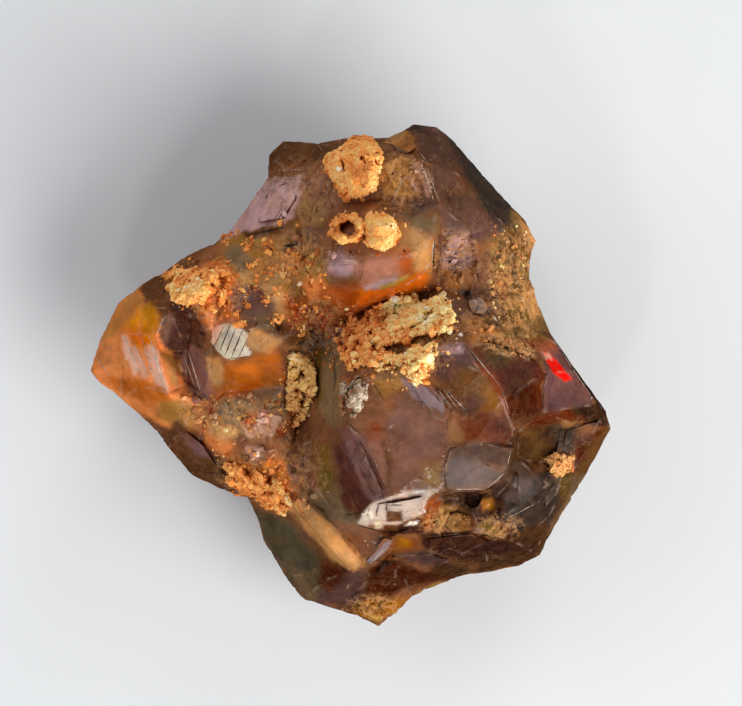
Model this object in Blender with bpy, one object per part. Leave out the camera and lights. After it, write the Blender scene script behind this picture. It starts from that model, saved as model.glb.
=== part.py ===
"""A cluster of intergrown rainbow garnet crystals, patched with ochre crust, resting on its broken base.

X runs across the cluster, Y up the page of the photograph, Z towards its viewer. The origin is the middle of
the box's floor. The script works in millimetres and scales the finished meshes to metres.
"""

import itertools
import math
import random

import bmesh
import bpy
import numpy as np
from mathutils import Euler, Matrix, Vector
from mathutils.bvhtree import BVHTree
from mathutils.geometry import delaunay_2d_cdt

# Real size: the width from the left tip to the right corner, in millimetres.
CLUSTER_WIDTH = 13.0

# Plan positions below are pixels of the 742 by 706 photograph, and heights are millimetres above the base.
LEFT_EDGE = 90
RIGHT_EDGE = 611
TOP_EDGE = 125
BOTTOM_EDGE = 628
MM_PER_PIXEL = CLUSTER_WIDTH / (RIGHT_EDGE - LEFT_EDGE)
MIDDLE_ACROSS = (LEFT_EDGE + RIGHT_EDGE) / 2
MIDDLE_DOWN = (TOP_EDGE + BOTTOM_EDGE) / 2
METRES_PER_MM = 0.001

# Millimetres: the gap under a crust, how deep a plate's foot is sunk, and a height above everything.
CRUST_GAP = 0.03
FOOT_DEPTH = 0.45
SKY = 20.0

# How firmly the faces are made flat, and how much of each corner's own height is kept.
FLATTEN_ROUNDS = 80
FLATTEN_STEP = 0.5
KEEP_HEIGHT = 0.5

# Shares: how far a plate's foot spreads, how a growth step shrinks, a crust's rim and a pit's floor.
FOOT_SPREAD = 1.12
TERRACE_SHRINK = 0.2
CRUST_RIM = 0.35
PIT_FLOOR_SHARE = 0.45
TERRACE_FIRST = 0.03
ROD_LIFT = 0.35
ROD_SIDES = 12

# The blocks in a row, and the pits: sides, and the ranges that chance draws from.
BLOCK_SIDES = 5
BLOCK_TURN = 0.4
BLOCK_SIZES = (1.0, 1.4)
BLOCK_NARROWING = 0.8
BLOCK_RISES = (0.4, 1.1)
PIT_SIDES = 7
PIT_WOBBLE = 0.2
PIT_MOUTHS = (0.9, 1.3)
PIT_UNEVENNESS = 0.3
CUTTER_RISE = 0.5

# The crusts' crumbling: shares of the grain size, and of the thickness.
PROBES = 6
JITTER = 0.22
EDGE_CLEARANCE = 0.45
EDGE_ROUGHNESS = 0.16
CRUST_LUMPS = (0.72, 1.15)

SEED = 7

# The cluster's outline seen from above, where the upper faces meet the under ones. Clockwise from the left tip.
GIRDLE = [
    (90, 371, 2.6), (101, 337, 2.8), (119, 303, 3.0), (146, 282, 3.1), (163, 272, 3.2), (184, 258, 3.3),
    (213, 243, 3.4), (229, 231, 3.4), (244, 212, 3.3), (268, 178, 3.2), (269, 155, 3.1), (283, 141, 3.1),
    (318, 144, 3.5), (352, 138, 3.8), (388, 139, 3.9), (404, 131, 3.6), (414, 125, 3.4), (436, 128, 3.4),
    (453, 141, 3.3), (483, 175, 3.2), (512, 207, 3.1), (525, 220, 3.0), (535, 240, 3.0), (530, 262, 3.2),
    (531, 281, 3.2), (540, 310, 3.0), (550, 333, 3.1), (561, 349, 3.2), (586, 384, 3.1), (606, 411, 3.0),
    (611, 428, 2.9), (598, 454, 2.7), (573, 497, 2.4), (549, 538, 2.2), (540, 556, 2.0), (520, 567, 1.9),
    (491, 573, 1.9), (464, 576, 2.0), (412, 597, 1.9), (399, 611, 1.8), (379, 628, 1.7), (358, 617, 1.8),
    (325, 607, 1.9), (303, 600, 1.9), (286, 579, 1.9), (264, 544, 1.9), (256, 518, 2.0), (247, 498, 2.1),
    (223, 491, 2.1), (190, 475, 2.1), (168, 448, 2.2), (156, 431, 2.3), (121, 399, 2.4), (100, 384, 2.5),
]

# Edges between the faces that the photograph shows, crystal by crystal. A corner that returns keeps its height.
UPPER_CREASES = {
    "left tip crystal": [
        [(123, 334, 3.9), (158, 335, 4.7), (161, 365, 4.4), (169, 393, 4.1), (141, 386, 3.7), (123, 362, 3.5),
         (123, 334, 3.9), (141, 307, 4.1), (151, 307, 4.3), (158, 335, 4.7)],
        [(90, 371, 2.6), (123, 362, 3.5)],
        [(101, 337, 2.8), (123, 334, 3.9)],
        [(119, 303, 3.0), (141, 307, 4.1)],
        [(121, 399, 2.4), (141, 386, 3.7)],
        [(146, 282, 3.1), (151, 307, 4.3)],
        [(156, 431, 2.3), (169, 393, 4.1), (197, 400, 3.6)],
    ],
    "dark wedge": [
        [(151, 307, 4.3), (172, 309, 5.0), (158, 335, 4.7), (162, 350, 4.3), (177, 358, 3.7), (188, 383, 3.5),
         (197, 400, 3.6), (204, 398, 3.7), (211, 370, 4.2), (204, 352, 4.4), (207, 330, 5.2), (193, 309, 5.3),
         (182, 300, 4.9), (172, 309, 5.0)],
        [(177, 358, 3.7), (187, 352, 3.9), (204, 352, 4.4)],
        [(187, 352, 3.9), (204, 398, 3.7)],
    ],
    "left shoulder": [
        [(163, 272, 3.2), (177, 292, 4.6), (182, 300, 4.9), (207, 290, 5.3), (228, 292, 5.0)],
        [(177, 292, 4.6), (172, 309, 5.0)],
        [(184, 258, 3.3), (207, 290, 5.3)],
        [(213, 243, 3.4), (236, 262, 4.3), (228, 292, 5.0), (207, 330, 5.2), (215, 328, 5.0)],
    ],
    "striped crystal": [
        [(215, 328, 5.0), (233, 323, 5.4), (250, 333, 5.5), (252, 353, 5.2), (232, 360, 4.9),
         (215, 345, 4.6), (215, 328, 5.0)],
        [(250, 333, 5.5), (272, 326, 5.6), (285, 340, 5.4), (280, 352, 5.1), (252, 353, 5.2)],
        [(204, 352, 4.4), (215, 345, 4.6)],
        [(232, 360, 4.9), (227, 392, 3.9), (211, 403, 3.7), (204, 398, 3.7)],
        [(280, 352, 5.1), (300, 350, 4.5), (300, 372, 4.2), (286, 386, 4.3), (227, 392, 3.9)],
        [(285, 340, 5.4), (300, 350, 4.5)],
    ],
    "lower left crystals": [
        [(211, 403, 3.7), (205, 416, 3.3), (218, 426, 3.8), (241, 432, 4.0), (270, 437, 4.5), (284, 422, 4.5),
         (288, 402, 4.1), (286, 386, 4.3)],
        [(241, 432, 4.0), (259, 413, 4.6), (284, 422, 4.5)],
        [(218, 426, 3.8), (224, 461, 3.1), (248, 463, 3.8), (272, 455, 4.3), (270, 437, 4.5)],
        [(224, 461, 3.1), (243, 476, 3.2), (262, 487, 3.4), (283, 500, 3.5), (290, 512, 3.2)],
        [(272, 455, 4.3), (283, 462, 4.1), (296, 490, 4.4), (283, 500, 3.5)],
        [(156, 431, 2.3), (186, 424, 3.4), (205, 416, 3.3), (200, 440, 2.9), (224, 461, 3.1)],
        [(186, 424, 3.4), (197, 400, 3.6)],
        [(168, 448, 2.2), (200, 440, 2.9)],
        [(190, 475, 2.1), (224, 461, 3.1)],
        [(223, 491, 2.1), (243, 476, 3.2)],
        [(247, 498, 2.1), (262, 487, 3.4)],
        [(256, 518, 2.0), (283, 500, 3.5)],
    ],
    "lower body": [
        [(296, 490, 4.4), (318, 520, 4.4), (335, 545, 4.3), (352, 566, 4.1), (366, 566, 3.9)],
        [(290, 512, 3.2), (306, 545, 2.9), (312, 572, 2.9), (330, 578, 3.3), (352, 566, 4.1)],
        [(312, 572, 2.9), (303, 600, 1.9)],
        [(330, 578, 3.3), (325, 607, 1.9)],
        [(264, 544, 1.9), (290, 512, 3.2)],
    ],
    "bottom tip crystal": [
        [(366, 566, 3.9), (375, 548, 4.7), (389, 537, 4.9), (393, 547, 4.6), (381, 563, 3.7), (371, 578, 3.4),
         (366, 566, 3.9)],
        [(371, 578, 3.4), (362, 602, 2.7)],
        [(325, 607, 1.9), (345, 602, 2.4), (362, 602, 2.7), (395, 600, 2.6), (412, 597, 1.9)],
        [(362, 602, 2.7), (379, 628, 1.7)],
        [(371, 578, 3.4), (396, 559, 4.2), (424, 567, 3.7), (464, 576, 2.0)],
        [(381, 563, 3.7), (396, 559, 4.2), (425, 547, 4.1), (450, 565, 3.2), (464, 576, 2.0)],
        [(393, 547, 4.6), (425, 547, 4.1)],
    ],
    "lower right lens": [
        [(425, 547, 4.1), (440, 535, 4.5), (480, 531, 4.2), (512, 541, 3.5), (540, 556, 2.0)],
        [(512, 541, 3.5), (491, 573, 1.9)],
        [(450, 565, 3.2), (491, 573, 1.9)],
    ],
    "main crystal": [
        [(458, 345, 7.0), (431, 352, 6.9), (410, 372, 7.0), (445, 407, 6.9), (475, 436, 6.6), (511, 428, 6.1)],
        [(410, 372, 7.0), (395, 373, 6.8), (424, 402, 6.85), (445, 407, 6.9)],
        [(395, 373, 6.8), (368, 380, 6.5), (347, 400, 6.1), (350, 425, 6.2), (386, 496, 5.9)],
        [(350, 425, 6.2), (340, 441, 5.6), (372, 501, 5.7)],
        [(347, 400, 6.1), (326, 412, 5.2), (312, 442, 4.4), (308, 472, 4.2), (330, 505, 4.4), (358, 519, 5.0)],
        [(326, 412, 5.2), (340, 441, 5.6)],
        [(330, 505, 4.4), (318, 520, 4.4)],
        [(308, 472, 4.2), (296, 490, 4.4)],
    ],
    "broken plate": [
        [(430, 489, 6.1), (440, 491, 6.2), (465, 489, 6.2), (489, 487, 6.0), (503, 476, 5.95), (508, 460, 6.0),
         (511, 428, 6.1)],
        [(430, 489, 6.1), (440, 497, 4.6), (466, 497, 4.2), (495, 494, 4.1), (511, 480, 4.2), (516, 458, 4.5),
         (517, 430, 4.9), (511, 428, 6.1)],
        [(475, 436, 6.6), (446, 457, 6.5), (440, 491, 6.2)],
    ],
    "sparkling face": [
        [(358, 519, 5.0), (372, 501, 5.7), (386, 496, 5.9), (430, 489, 6.1), (424, 511, 5.5), (410, 527, 4.8),
         (391, 530, 4.6), (358, 519, 5.0)],
        [(391, 530, 4.6), (389, 537, 4.9)],
        [(424, 511, 5.5), (440, 497, 4.6)],
        [(410, 527, 4.8), (440, 535, 4.5), (452, 515, 4.2), (466, 497, 4.2)],
        [(480, 531, 4.2), (495, 494, 4.1)],
    ],
    "right crystal": [
        [(458, 345, 7.0), (480, 372, 6.8), (500, 400, 6.5), (511, 428, 6.1)],
        [(458, 345, 7.0), (490, 344, 6.5), (520, 356, 6.1), (545, 371, 5.7), (541, 411, 5.3), (511, 428, 6.1)],
        [(545, 371, 5.7), (553, 342, 4.7), (550, 333, 3.1)],
        [(553, 342, 4.7), (575, 372, 4.2), (598, 405, 4.0), (541, 411, 5.3), (517, 430, 4.9)],
        [(598, 405, 4.0), (606, 411, 3.0)],
        [(517, 430, 4.9), (541, 426, 4.5), (574, 425, 4.1), (598, 421, 3.6), (611, 428, 2.9)],
        [(598, 421, 3.6), (588, 446, 3.6), (565, 487, 3.3), (541, 530, 3.1), (512, 541, 3.5)],
        [(516, 458, 4.5), (541, 462, 3.7), (562, 456, 3.6), (574, 425, 4.1)],
        [(541, 462, 3.7), (548, 484, 3.9), (565, 487, 3.3)],
        [(516, 458, 4.5), (520, 505, 4.2), (541, 530, 3.1)],
        [(495, 494, 4.1), (520, 505, 4.2), (548, 484, 3.9)],
    ],
    "valley between left and main crystals": [
        [(300, 372, 4.2), (316, 384, 4.3), (326, 412, 5.2)],
        [(288, 402, 4.1), (300, 412, 3.9), (312, 442, 4.4)],
        [(300, 412, 3.9), (316, 384, 4.3)],
        [(284, 422, 4.5), (292, 445, 3.9), (308, 472, 4.2)],
        [(283, 462, 4.1), (292, 445, 3.9)],
        [(316, 350, 4.6), (316, 384, 4.3)],
    ],
    "crusted hollow": [
        [(347, 400, 6.1), (338, 372, 5.4), (336, 340, 5.2), (345, 322, 4.9), (385, 308, 4.9), (420, 297, 5.1),
         (438, 288, 5.3), (450, 300, 5.7), (455, 325, 6.6), (458, 345, 7.0)],
        [(336, 340, 5.2), (316, 350, 4.6), (300, 350, 4.5)],
    ],
    "amber boulder": [
        [(322, 272, 6.2), (335, 262, 6.7), (365, 266, 7.0), (400, 262, 7.05), (415, 256, 6.9), (430, 240, 6.3)],
        [(322, 272, 6.2), (330, 292, 5.8), (362, 298, 5.9), (395, 291, 5.9), (422, 276, 5.8), (433, 262, 6.0),
         (430, 240, 6.3)],
        [(330, 292, 5.8), (322, 315, 4.9), (345, 322, 4.9)],
        [(433, 262, 6.0), (438, 288, 5.3)],
        [(322, 272, 6.2), (325, 250, 5.8), (345, 235, 6.7), (375, 226, 7.0), (405, 224, 6.6), (430, 240, 6.3)],
    ],
    "upper crystal": [
        [(405, 224, 6.6), (402, 205, 6.0), (385, 203, 6.0), (340, 205, 5.6), (325, 250, 5.8)],
        [(385, 203, 6.0), (383, 166, 6.3), (400, 160, 6.2), (415, 158, 5.9), (428, 166, 6.4), (438, 206, 6.4),
         (442, 236, 5.8), (430, 240, 6.3)],
        [(402, 205, 6.0), (438, 206, 6.4)],
        [(340, 205, 5.6), (326, 176, 5.4), (326, 160, 5.2), (318, 144, 3.5)],
        [(326, 160, 5.2), (352, 150, 5.6), (383, 166, 6.3)],
        [(352, 150, 5.6), (352, 138, 3.8)],
        [(400, 160, 6.2), (386, 148, 5.3), (388, 139, 3.9)],
        [(415, 158, 5.9), (419, 143, 5.2), (414, 125, 3.4)],
        [(436, 128, 3.4), (441, 150, 5.0), (458, 176, 5.2), (480, 204, 5.0), (505, 226, 4.5), (512, 207, 3.1)],
        [(419, 143, 5.2), (441, 150, 5.0)],
        [(442, 236, 5.8), (470, 234, 5.6), (505, 226, 4.5)],
        [(428, 166, 6.4), (458, 176, 5.2)],
    ],
    "upper left crystal": [
        [(268, 178, 3.2), (300, 181, 5.0), (300, 199, 5.0), (286, 223, 5.0), (262, 231, 4.4), (229, 231, 3.4)],
        [(300, 181, 5.0), (326, 176, 5.4)],
        [(286, 223, 5.0), (302, 242, 4.9), (325, 250, 5.8)],
        [(302, 242, 4.9), (270, 252, 4.5), (236, 262, 4.3)],
        [(270, 252, 4.5), (262, 231, 4.4)],
    ],
    "middle left hollows": [
        [(270, 252, 4.5), (264, 282, 4.4), (228, 292, 5.0)],
        [(264, 282, 4.4), (277, 300, 4.9), (272, 326, 5.6)],
        [(322, 272, 6.2), (295, 272, 4.8), (264, 282, 4.4)],
        [(277, 300, 4.9), (300, 305, 4.7), (322, 315, 4.9), (316, 350, 4.6)],
        [(300, 305, 4.7), (295, 272, 4.8)],
    ],
    "olive flank": [
        [(505, 226, 4.5), (515, 245, 4.6), (518, 262, 4.7), (530, 262, 3.2)],
        [(442, 236, 5.8), (448, 262, 5.2), (438, 288, 5.3)],
        [(470, 234, 5.6), (478, 262, 5.2), (487, 290, 5.1), (490, 320, 5.9), (490, 344, 6.5)],
        [(478, 262, 5.2), (518, 262, 4.7)],
        [(487, 290, 5.1), (520, 295, 4.9), (540, 310, 3.0)],
        [(450, 300, 5.7), (470, 295, 5.2), (487, 290, 5.1)],
        [(490, 320, 5.9), (528, 330, 4.9), (553, 342, 4.7)],
        [(528, 330, 4.9), (520, 295, 4.9)],
        [(448, 262, 5.2), (478, 262, 5.2)],
    ],
}

# The under side isn't in the photograph: four blunt keels below the four big crystals run in to a broken base.
BASE_OUTLINE = [
    (246, 352, 0), (266, 300, 0), (320, 268, 0), (392, 258, 0), (452, 286, 0), (490, 346, 0),
    (486, 420, 0), (440, 480, 0), (372, 500, 0), (306, 478, 0), (262, 420, 0),
]
UNDER_CREASES = {
    "keel of the left tip crystal": [
        [(90, 371, 2.6), (162, 362, 0.55), (246, 352, 0)],
        [(162, 362, 0.55), (184, 258, 3.3)],
        [(162, 362, 0.55), (156, 431, 2.3)],
    ],
    "keel of the upper crystals": [
        [(414, 125, 3.4), (404, 186, 0.9), (392, 258, 0)],
        [(404, 186, 0.9), (512, 207, 3.1)],
        [(404, 186, 0.9), (318, 144, 3.5)],
        [(268, 178, 3.2), (300, 218, 0.75), (320, 268, 0)],
        [(300, 218, 0.75), (404, 186, 0.9)],
        [(300, 218, 0.75), (229, 231, 3.4)],
    ],
    "keel of the right crystal": [
        [(611, 428, 2.9), (552, 392, 0.65), (490, 346, 0)],
        [(552, 392, 0.65), (550, 333, 3.1)],
        [(540, 440, 0.45), (552, 392, 0.65)],
        [(540, 440, 0.45), (486, 420, 0)],
        [(540, 440, 0.45), (573, 497, 2.4)],
        [(540, 440, 0.45), (491, 573, 1.9)],
    ],
    "keel of the bottom tip crystal": [
        [(379, 628, 1.7), (374, 566, 0.4), (372, 500, 0)],
        [(374, 566, 0.4), (464, 576, 2.0)],
        [(374, 566, 0.4), (303, 600, 1.9)],
        [(374, 566, 0.4), (306, 478, 0)],
    ],
    "notches between the crystals": [
        [(213, 243, 3.4), (236, 290, 2.4), (266, 300, 0)],
        [(535, 240, 3.0), (486, 276, 2.0), (452, 286, 0)],
        [(486, 276, 2.0), (531, 281, 3.2)],
        [(464, 576, 2.0), (452, 524, 1.4), (440, 480, 0)],
        [(256, 518, 2.0), (276, 486, 1.7), (306, 478, 0)],
        [(276, 486, 1.7), (262, 420, 0)],
        [(276, 486, 1.7), (190, 475, 2.1)],
    ],
}


# Thin plates and steps that stand proud of the faces: corners, and their rise above the face in millimetres.
# The plate is flat, so a corner with a rise below zero lets that side run into the face.
PLATES = {
    "blade beside the summit": [(400, 372, 0.10), (408, 370, 0.12), (446, 409, 0.16), (444, 419, 0.14),
                                (434, 416, 0.06)],
    "broken plate": [(449, 447, -0.05), (478, 441, 0.12), (509, 447, 0.22), (504, 470, 0.24), (495, 480, 0.24),
                     (484, 487, 0.22), (446, 488, 0.18), (443, 468, 0.05)],
    "fracture under the boulder": [(329, 262, 0.10), (345, 257, 0.16), (362, 262, 0.14), (360, 281, 0.05),
                                   (336, 282, 0.05)],
    "olive flake": [(467, 301, 0.20), (479, 297, 0.24), (487, 306, 0.20), (483, 315, 0.08), (470, 313, 0.05)],
    "amber facet": [(389, 145, 0.05), (400, 136, 0.12), (413, 142, 0.22), (415, 151, 0.26), (407, 156, 0.20)],
    "slender facet": [(384, 536, 0.16), (392, 538, 0.20), (380, 556, 0.14), (370, 565, 0.06),
                      (366, 560, 0.08)],
    "tan rounded facet": [(250, 330, 0.08), (266, 324, 0.20), (282, 331, 0.20), (284, 346, 0.14),
                          (262, 352, 0.06)],
    "lower scar": [(452, 512, 0.05), (468, 514, 0.14), (471, 528, 0.16), (452, 532, 0.10), (444, 522, 0.03)],
    "lower lens": [(428, 538, 0.05), (470, 533, 0.16), (488, 541, 0.16), (462, 553, 0.10), (431, 552, 0.05)],
    "mauve strip": [(392, 556, 0.08), (430, 553, 0.12), (447, 561, 0.12), (420, 567, 0.06)],
    "right notch": [(548, 470, 0.08), (562, 474, 0.14), (556, 494, 0.14), (545, 506, 0.08)],
    "salmon flake": [(246, 420, 0.06), (264, 412, 0.14), (283, 417, 0.16), (276, 432, 0.10), (252, 435, 0.05)],
    "left lower facet": [(184, 430, 0.04), (203, 446, 0.12), (216, 466, 0.12), (196, 462, 0.06),
                         (180, 446, 0.04)],
}

# Stepped growth on the large faces: outline of the lowest step, the point they shrink towards, steps and rise.
TERRACES = {
    "upper left face": ([(272, 184), (297, 184), (296, 200), (283, 219), (256, 224)], (262, 222), 3, 0.05),
    "V bands": ([(356, 430), (384, 490), (376, 497), (347, 444)], (381, 490), 3, 0.06),
    "sparkling face": ([(370, 504), (422, 494), (418, 512), (394, 521), (368, 518)], (414, 498), 3, 0.07),
    "right flank": ([(560, 430), (600, 418), (592, 440), (568, 476), (552, 466)], (590, 432), 2, 0.05),
    "tip face": ([(352, 604), (374, 600), (384, 612), (378, 624), (364, 616)], (376, 618), 2, 0.05),
    "olive groove": ([(320, 356), (334, 352), (336, 396), (326, 420), (318, 400)], (333, 356), 2, 0.04),
}

# Small blocky steps in rows: first block, last block, how many, width and rise.
BLOCK_ROWS = {
    "rope border": ((488, 339), (532, 356), 7, 7.0, 0.16),
    "steps on the sparkling face": ((389, 513), (404, 505), 3, 6.0, 0.14),
    "right striae": ((438, 390), (452, 410), 3, 3.5, 0.08),
    "outer striae": ((449, 394), (465, 410), 3, 3.5, 0.08),
    "upper striae": ((446, 254), (456, 268), 3, 5.0, 0.10),
    "white slivers": ((424, 170), (431, 198), 3, 4.0, 0.10),
    "right lumps": ((512, 258), (528, 292), 4, 8.0, 0.20),
    "lower lumps": ((262, 448), (246, 458), 3, 6.0, 0.12),
}

# Pits: where, how wide, and how deep.
PITS = {
    "dark pit": ((466, 295), 14, 0.13),
    "recess": ((472, 498), 32, 0.2),
    "hollow by the sparkle": ((450, 332), 10, 0.12),
    "left recess": ((294, 470), 13, 0.08),
}

# The smooth amber rod that lies along the lower left ridge: its middle line, with its radius in millimetres.
AMBER_ROD = [(298, 499, 0.20), (316, 517, 0.25), (332, 534, 0.27), (347, 552, 0.25), (358, 564, 0.18)]

# Crust patches: outline, thickness in millimetres, grain size in pixels, and colour.
OCHRE = (0.78, 0.36, 0.08)
PALE_OCHRE = (0.80, 0.50, 0.18)
TAN = (0.55, 0.36, 0.17)
PALE_GREY = (0.52, 0.49, 0.44)
CRUSTS = {
    "ochre_clump_summit": ([(325, 160), (338, 151), (353, 140), (365, 137), (376, 146), (383, 155), (380, 168),
                            (376, 193), (361, 200), (344, 202), (336, 190), (326, 172)], 0.62, 7, OCHRE),
    "ochre_knob": ([(364, 226), (372, 218), (384, 216), (396, 223), (400, 236), (394, 248), (381, 253),
                    (368, 247)], 0.60, 9, OCHRE),
    "ochre_crust_centre": ([(337, 333), (350, 318), (372, 311), (392, 299), (428, 293), (446, 297), (453, 316),
                            (449, 334), (434, 346), (436, 366), (428, 384), (409, 384), (396, 366), (376, 372),
                            (352, 370), (339, 352)], 0.26, 7, OCHRE),
    "grey_grain_patch": ([(342, 379), (358, 376), (368, 384), (366, 403), (356, 417), (343, 413), (339, 394)],
                         0.22, 6, PALE_GREY),
    "ochre_crust_shoulder": ([(164, 277), (178, 266), (200, 270), (220, 266), (234, 278), (228, 298),
                              (216, 312), (206, 304), (190, 307), (176, 300)], 0.30, 7, PALE_OCHRE),
    "ochre_leaf_crust": ([(292, 354), (310, 353), (317, 372), (314, 398), (304, 418), (294, 426), (287, 408),
                          (288, 380)], 0.26, 7, PALE_OCHRE),
    "ochre_band_lower": ([(224, 462), (246, 465), (264, 474), (284, 484), (292, 500), (284, 514), (262, 505),
                          (240, 490), (226, 476)], 0.24, 7, PALE_OCHRE),
    "tan_lumps_right": ([(545, 458), (556, 452), (570, 455), (572, 468), (560, 476), (548, 472)], 0.30, 8, TAN),
}

# The ring of crust: its middle, its half widths to the middle of the band, the band's half width, and its rise.
RING_MIDDLE = (348, 231)
RING_RADII = (12.8, 11.0)
RING_THICKNESS = 4.6
RING_RISE = 0.34
RING_REACH = 0.08
RING_STEPS = 20
RING_PROFILE = 7
RING_LUMPS = (0.8, 1.2)

GARNET = (0.22, 0.07, 0.03)
CRYSTAL_ROUGHNESS = 0.12
CRUST_ROUGHNESS = 0.85

# Garnet crystals on the flanks below the girdle: where, height and radius in millimetres, and turn in degrees.
FLANK_CRYSTALS = {
    "below the left tip": (164, 352, 2.15, 1.05, 20),
    "left underside": (204, 312, 1.75, 1.20, 50),
    "left foot": (232, 396, 1.15, 1.00, 10),
    "below the shoulder": (258, 262, 2.10, 1.05, 35),
    "below the upper left face": (300, 196, 2.25, 1.00, 5),
    "upper foot": (346, 224, 1.45, 1.20, 40),
    "below the top": (404, 176, 2.20, 1.10, 15),
    "upper right foot": (456, 222, 1.85, 1.15, 60),
    "below the olive flank": (492, 270, 1.95, 0.90, 25),
    "right foot": (530, 366, 1.60, 1.10, 30),
    "below the right corner": (560, 420, 2.00, 0.95, 55),
    "lower right foot": (520, 466, 1.35, 1.15, 0),
    "below the lens": (492, 526, 1.25, 0.90, 45),
    "lower foot": (426, 536, 1.10, 0.95, 20),
    "below the bottom tip": (372, 574, 1.05, 0.80, 65),
    "lower left foot": (312, 540, 1.15, 0.90, 30),
}


def plan(across, down):
    """The millimetre position, seen from above, of a pixel of the photograph."""
    return Vector(((across - MIDDLE_ACROSS) * MM_PER_PIXEL, (MIDDLE_DOWN - down) * MM_PER_PIXEL))


class Relief:
    """A surface over the outline: its corners, the creases between its flat faces, and its triangles."""

    def __init__(self, lines, fixed):
        self.spots, self.heights, self.creases = [], [], []
        number = {}
        for line in lines:
            for across, down, height in line:
                if (across, down) not in number:
                    number[across, down] = len(self.spots)
                    self.spots.append(plan(across, down))
                    self.heights.append(height)
            keys = [number[across, down] for across, down, _ in line]
            self.creases += list(zip(keys, keys[1:]))
        self.fixed = {number[spot] for spot in fixed}
        self.triangulate()

    def triangulate(self):
        ring = list(range(len(GIRDLE)))
        spots, edges, faces, sources, edge_sources, _ = delaunay_2d_cdt(
            self.spots, self.creases, [ring], 1, 1e-6
        )
        heights = []
        for spot, source in zip(spots, sources):
            heights.append(self.heights[source[0]] if source else None)
        if None in heights:
            raise ValueError("two creases cross away from a corner")
        self.spots = spots
        self.heights = np.array(heights, float)
        self.triangles = [tuple(face) for face in faces]
        self.walls = {frozenset(edge) for edge, source in zip(edges, edge_sources) if source}

    def faces(self):
        """Groups of triangles with no crease between them, each group one flat crystal face."""
        beside = {}
        for index, triangle in enumerate(self.triangles):
            for a, b in zip(triangle, triangle[1:] + triangle[:1]):
                beside.setdefault(frozenset((a, b)), []).append(index)
        group = list(range(len(self.triangles)))

        def root(index):
            while group[index] != index:
                index = group[index]
            return index

        for edge, pair in beside.items():
            if len(pair) == 2 and edge not in self.walls:
                group[root(pair[0])] = root(pair[1])
        found = {}
        for index, triangle in enumerate(self.triangles):
            found.setdefault(root(index), set()).update(triangle)
        return [sorted(corners) for corners in found.values()]

    def flatten(self):
        """Moves the corners up or down a little, so that every face comes close to one plane."""
        xy = np.array([tuple(spot) for spot in self.spots])
        first = self.heights.copy()
        free = np.array([index not in self.fixed for index in range(len(first))])
        fits = []
        for corners in self.faces():
            basis = np.column_stack([xy[corners], np.ones(len(corners))])
            fits.append((corners, basis @ np.linalg.pinv(basis)))
        for _ in range(FLATTEN_ROUNDS):
            total = np.zeros(len(first))
            share = np.zeros(len(first))
            for corners, onto_plane in fits:
                total[corners] += onto_plane @ self.heights[corners]
                share[corners] += 1
            wanted = total / np.maximum(share, 1)
            wanted = wanted * (1 - KEEP_HEIGHT) + first * KEEP_HEIGHT
            self.heights[free] += FLATTEN_STEP * (wanted - self.heights)[free]

    def points(self):
        return [Vector((spot.x, spot.y, height)) for spot, height in zip(self.spots, self.heights)]


def new_object(name, mesh):
    obj = bpy.data.objects.new(name, mesh)
    bpy.context.scene.collection.objects.link(obj)
    return obj


def object_from(name, points, faces):
    mesh = bpy.data.meshes.new(name)
    mesh.from_pydata([tuple(point) for point in points], [], faces)
    mesh.validate()
    return new_object(name, mesh)


def hull_object(name, points):
    """A convex solid through the points, its faces turned out."""
    mesh = bpy.data.meshes.new(name)
    solid = bmesh.new()
    for point in points:
        solid.verts.new(point)
    found = bmesh.ops.convex_hull(solid, input=solid.verts)
    loose = [item for item in found["geom_interior"] if isinstance(item, bmesh.types.BMVert)]
    bmesh.ops.delete(solid, geom=loose, context="VERTS")
    bmesh.ops.recalc_face_normals(solid, faces=solid.faces)
    solid.to_mesh(mesh)
    solid.free()
    return new_object(name, mesh)


def crystal_body():
    """The closed body between the upper relief and the under one, which meet at the girdle."""
    girdle = [(across, down) for across, down, _ in GIRDLE]
    upper_lines = [GIRDLE + GIRDLE[:1]]
    for lines in UPPER_CREASES.values():
        upper_lines += lines
    upper = Relief(upper_lines, [])
    upper.flatten()
    under_lines = [GIRDLE + GIRDLE[:1], BASE_OUTLINE + BASE_OUTLINE[:1]]
    for lines in UNDER_CREASES.values():
        under_lines += lines
    base = [(across, down) for across, down, _ in BASE_OUTLINE]
    under = Relief(under_lines, girdle + base)
    under.heights[: len(GIRDLE)] = upper.heights[: len(GIRDLE)]
    under.flatten()
    points = upper.points()
    under_points = under.points()
    offset = len(points) - len(GIRDLE)
    points += under_points[len(GIRDLE):]
    faces = list(upper.triangles)
    for triangle in under.triangles:
        shifted = [index if index < len(GIRDLE) else index + offset for index in triangle]
        faces.append(tuple(reversed(shifted)))
    return object_from("garnet_cluster", points, faces)


class Surface:
    """Looks up the height of a body's upper surface."""

    def __init__(self, obj):
        solid = bmesh.new()
        solid.from_mesh(obj.data)
        self.tree = BVHTree.FromBMesh(solid)
        solid.free()

    def height(self, spot):
        found = self.tree.ray_cast(Vector((spot.x, spot.y, SKY)), Vector((0, 0, -1)))[0]
        return found.z if found else None

    def highest_near(self, spot, reach):
        """The highest point on a small ring around the spot, so that what is laid on it clears every edge."""
        heights = [self.height(spot)]
        for step in range(PROBES):
            angle = step * math.tau / PROBES
            near = spot + Vector((math.cos(angle), math.sin(angle))) * reach
            heights.append(self.height(near))
        return max(height for height in heights if height is not None)

    def fitted_plane(self, spots, rises):
        """Plane heights at the spots, fitted through the surface there plus each spot's rise."""
        goal = np.array([self.height(spot) + rise for spot, rise in zip(spots, rises)])
        basis = np.array([[spot.x, spot.y, 1.0] for spot in spots])
        return basis @ np.linalg.lstsq(basis, goal, rcond=None)[0]


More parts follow.
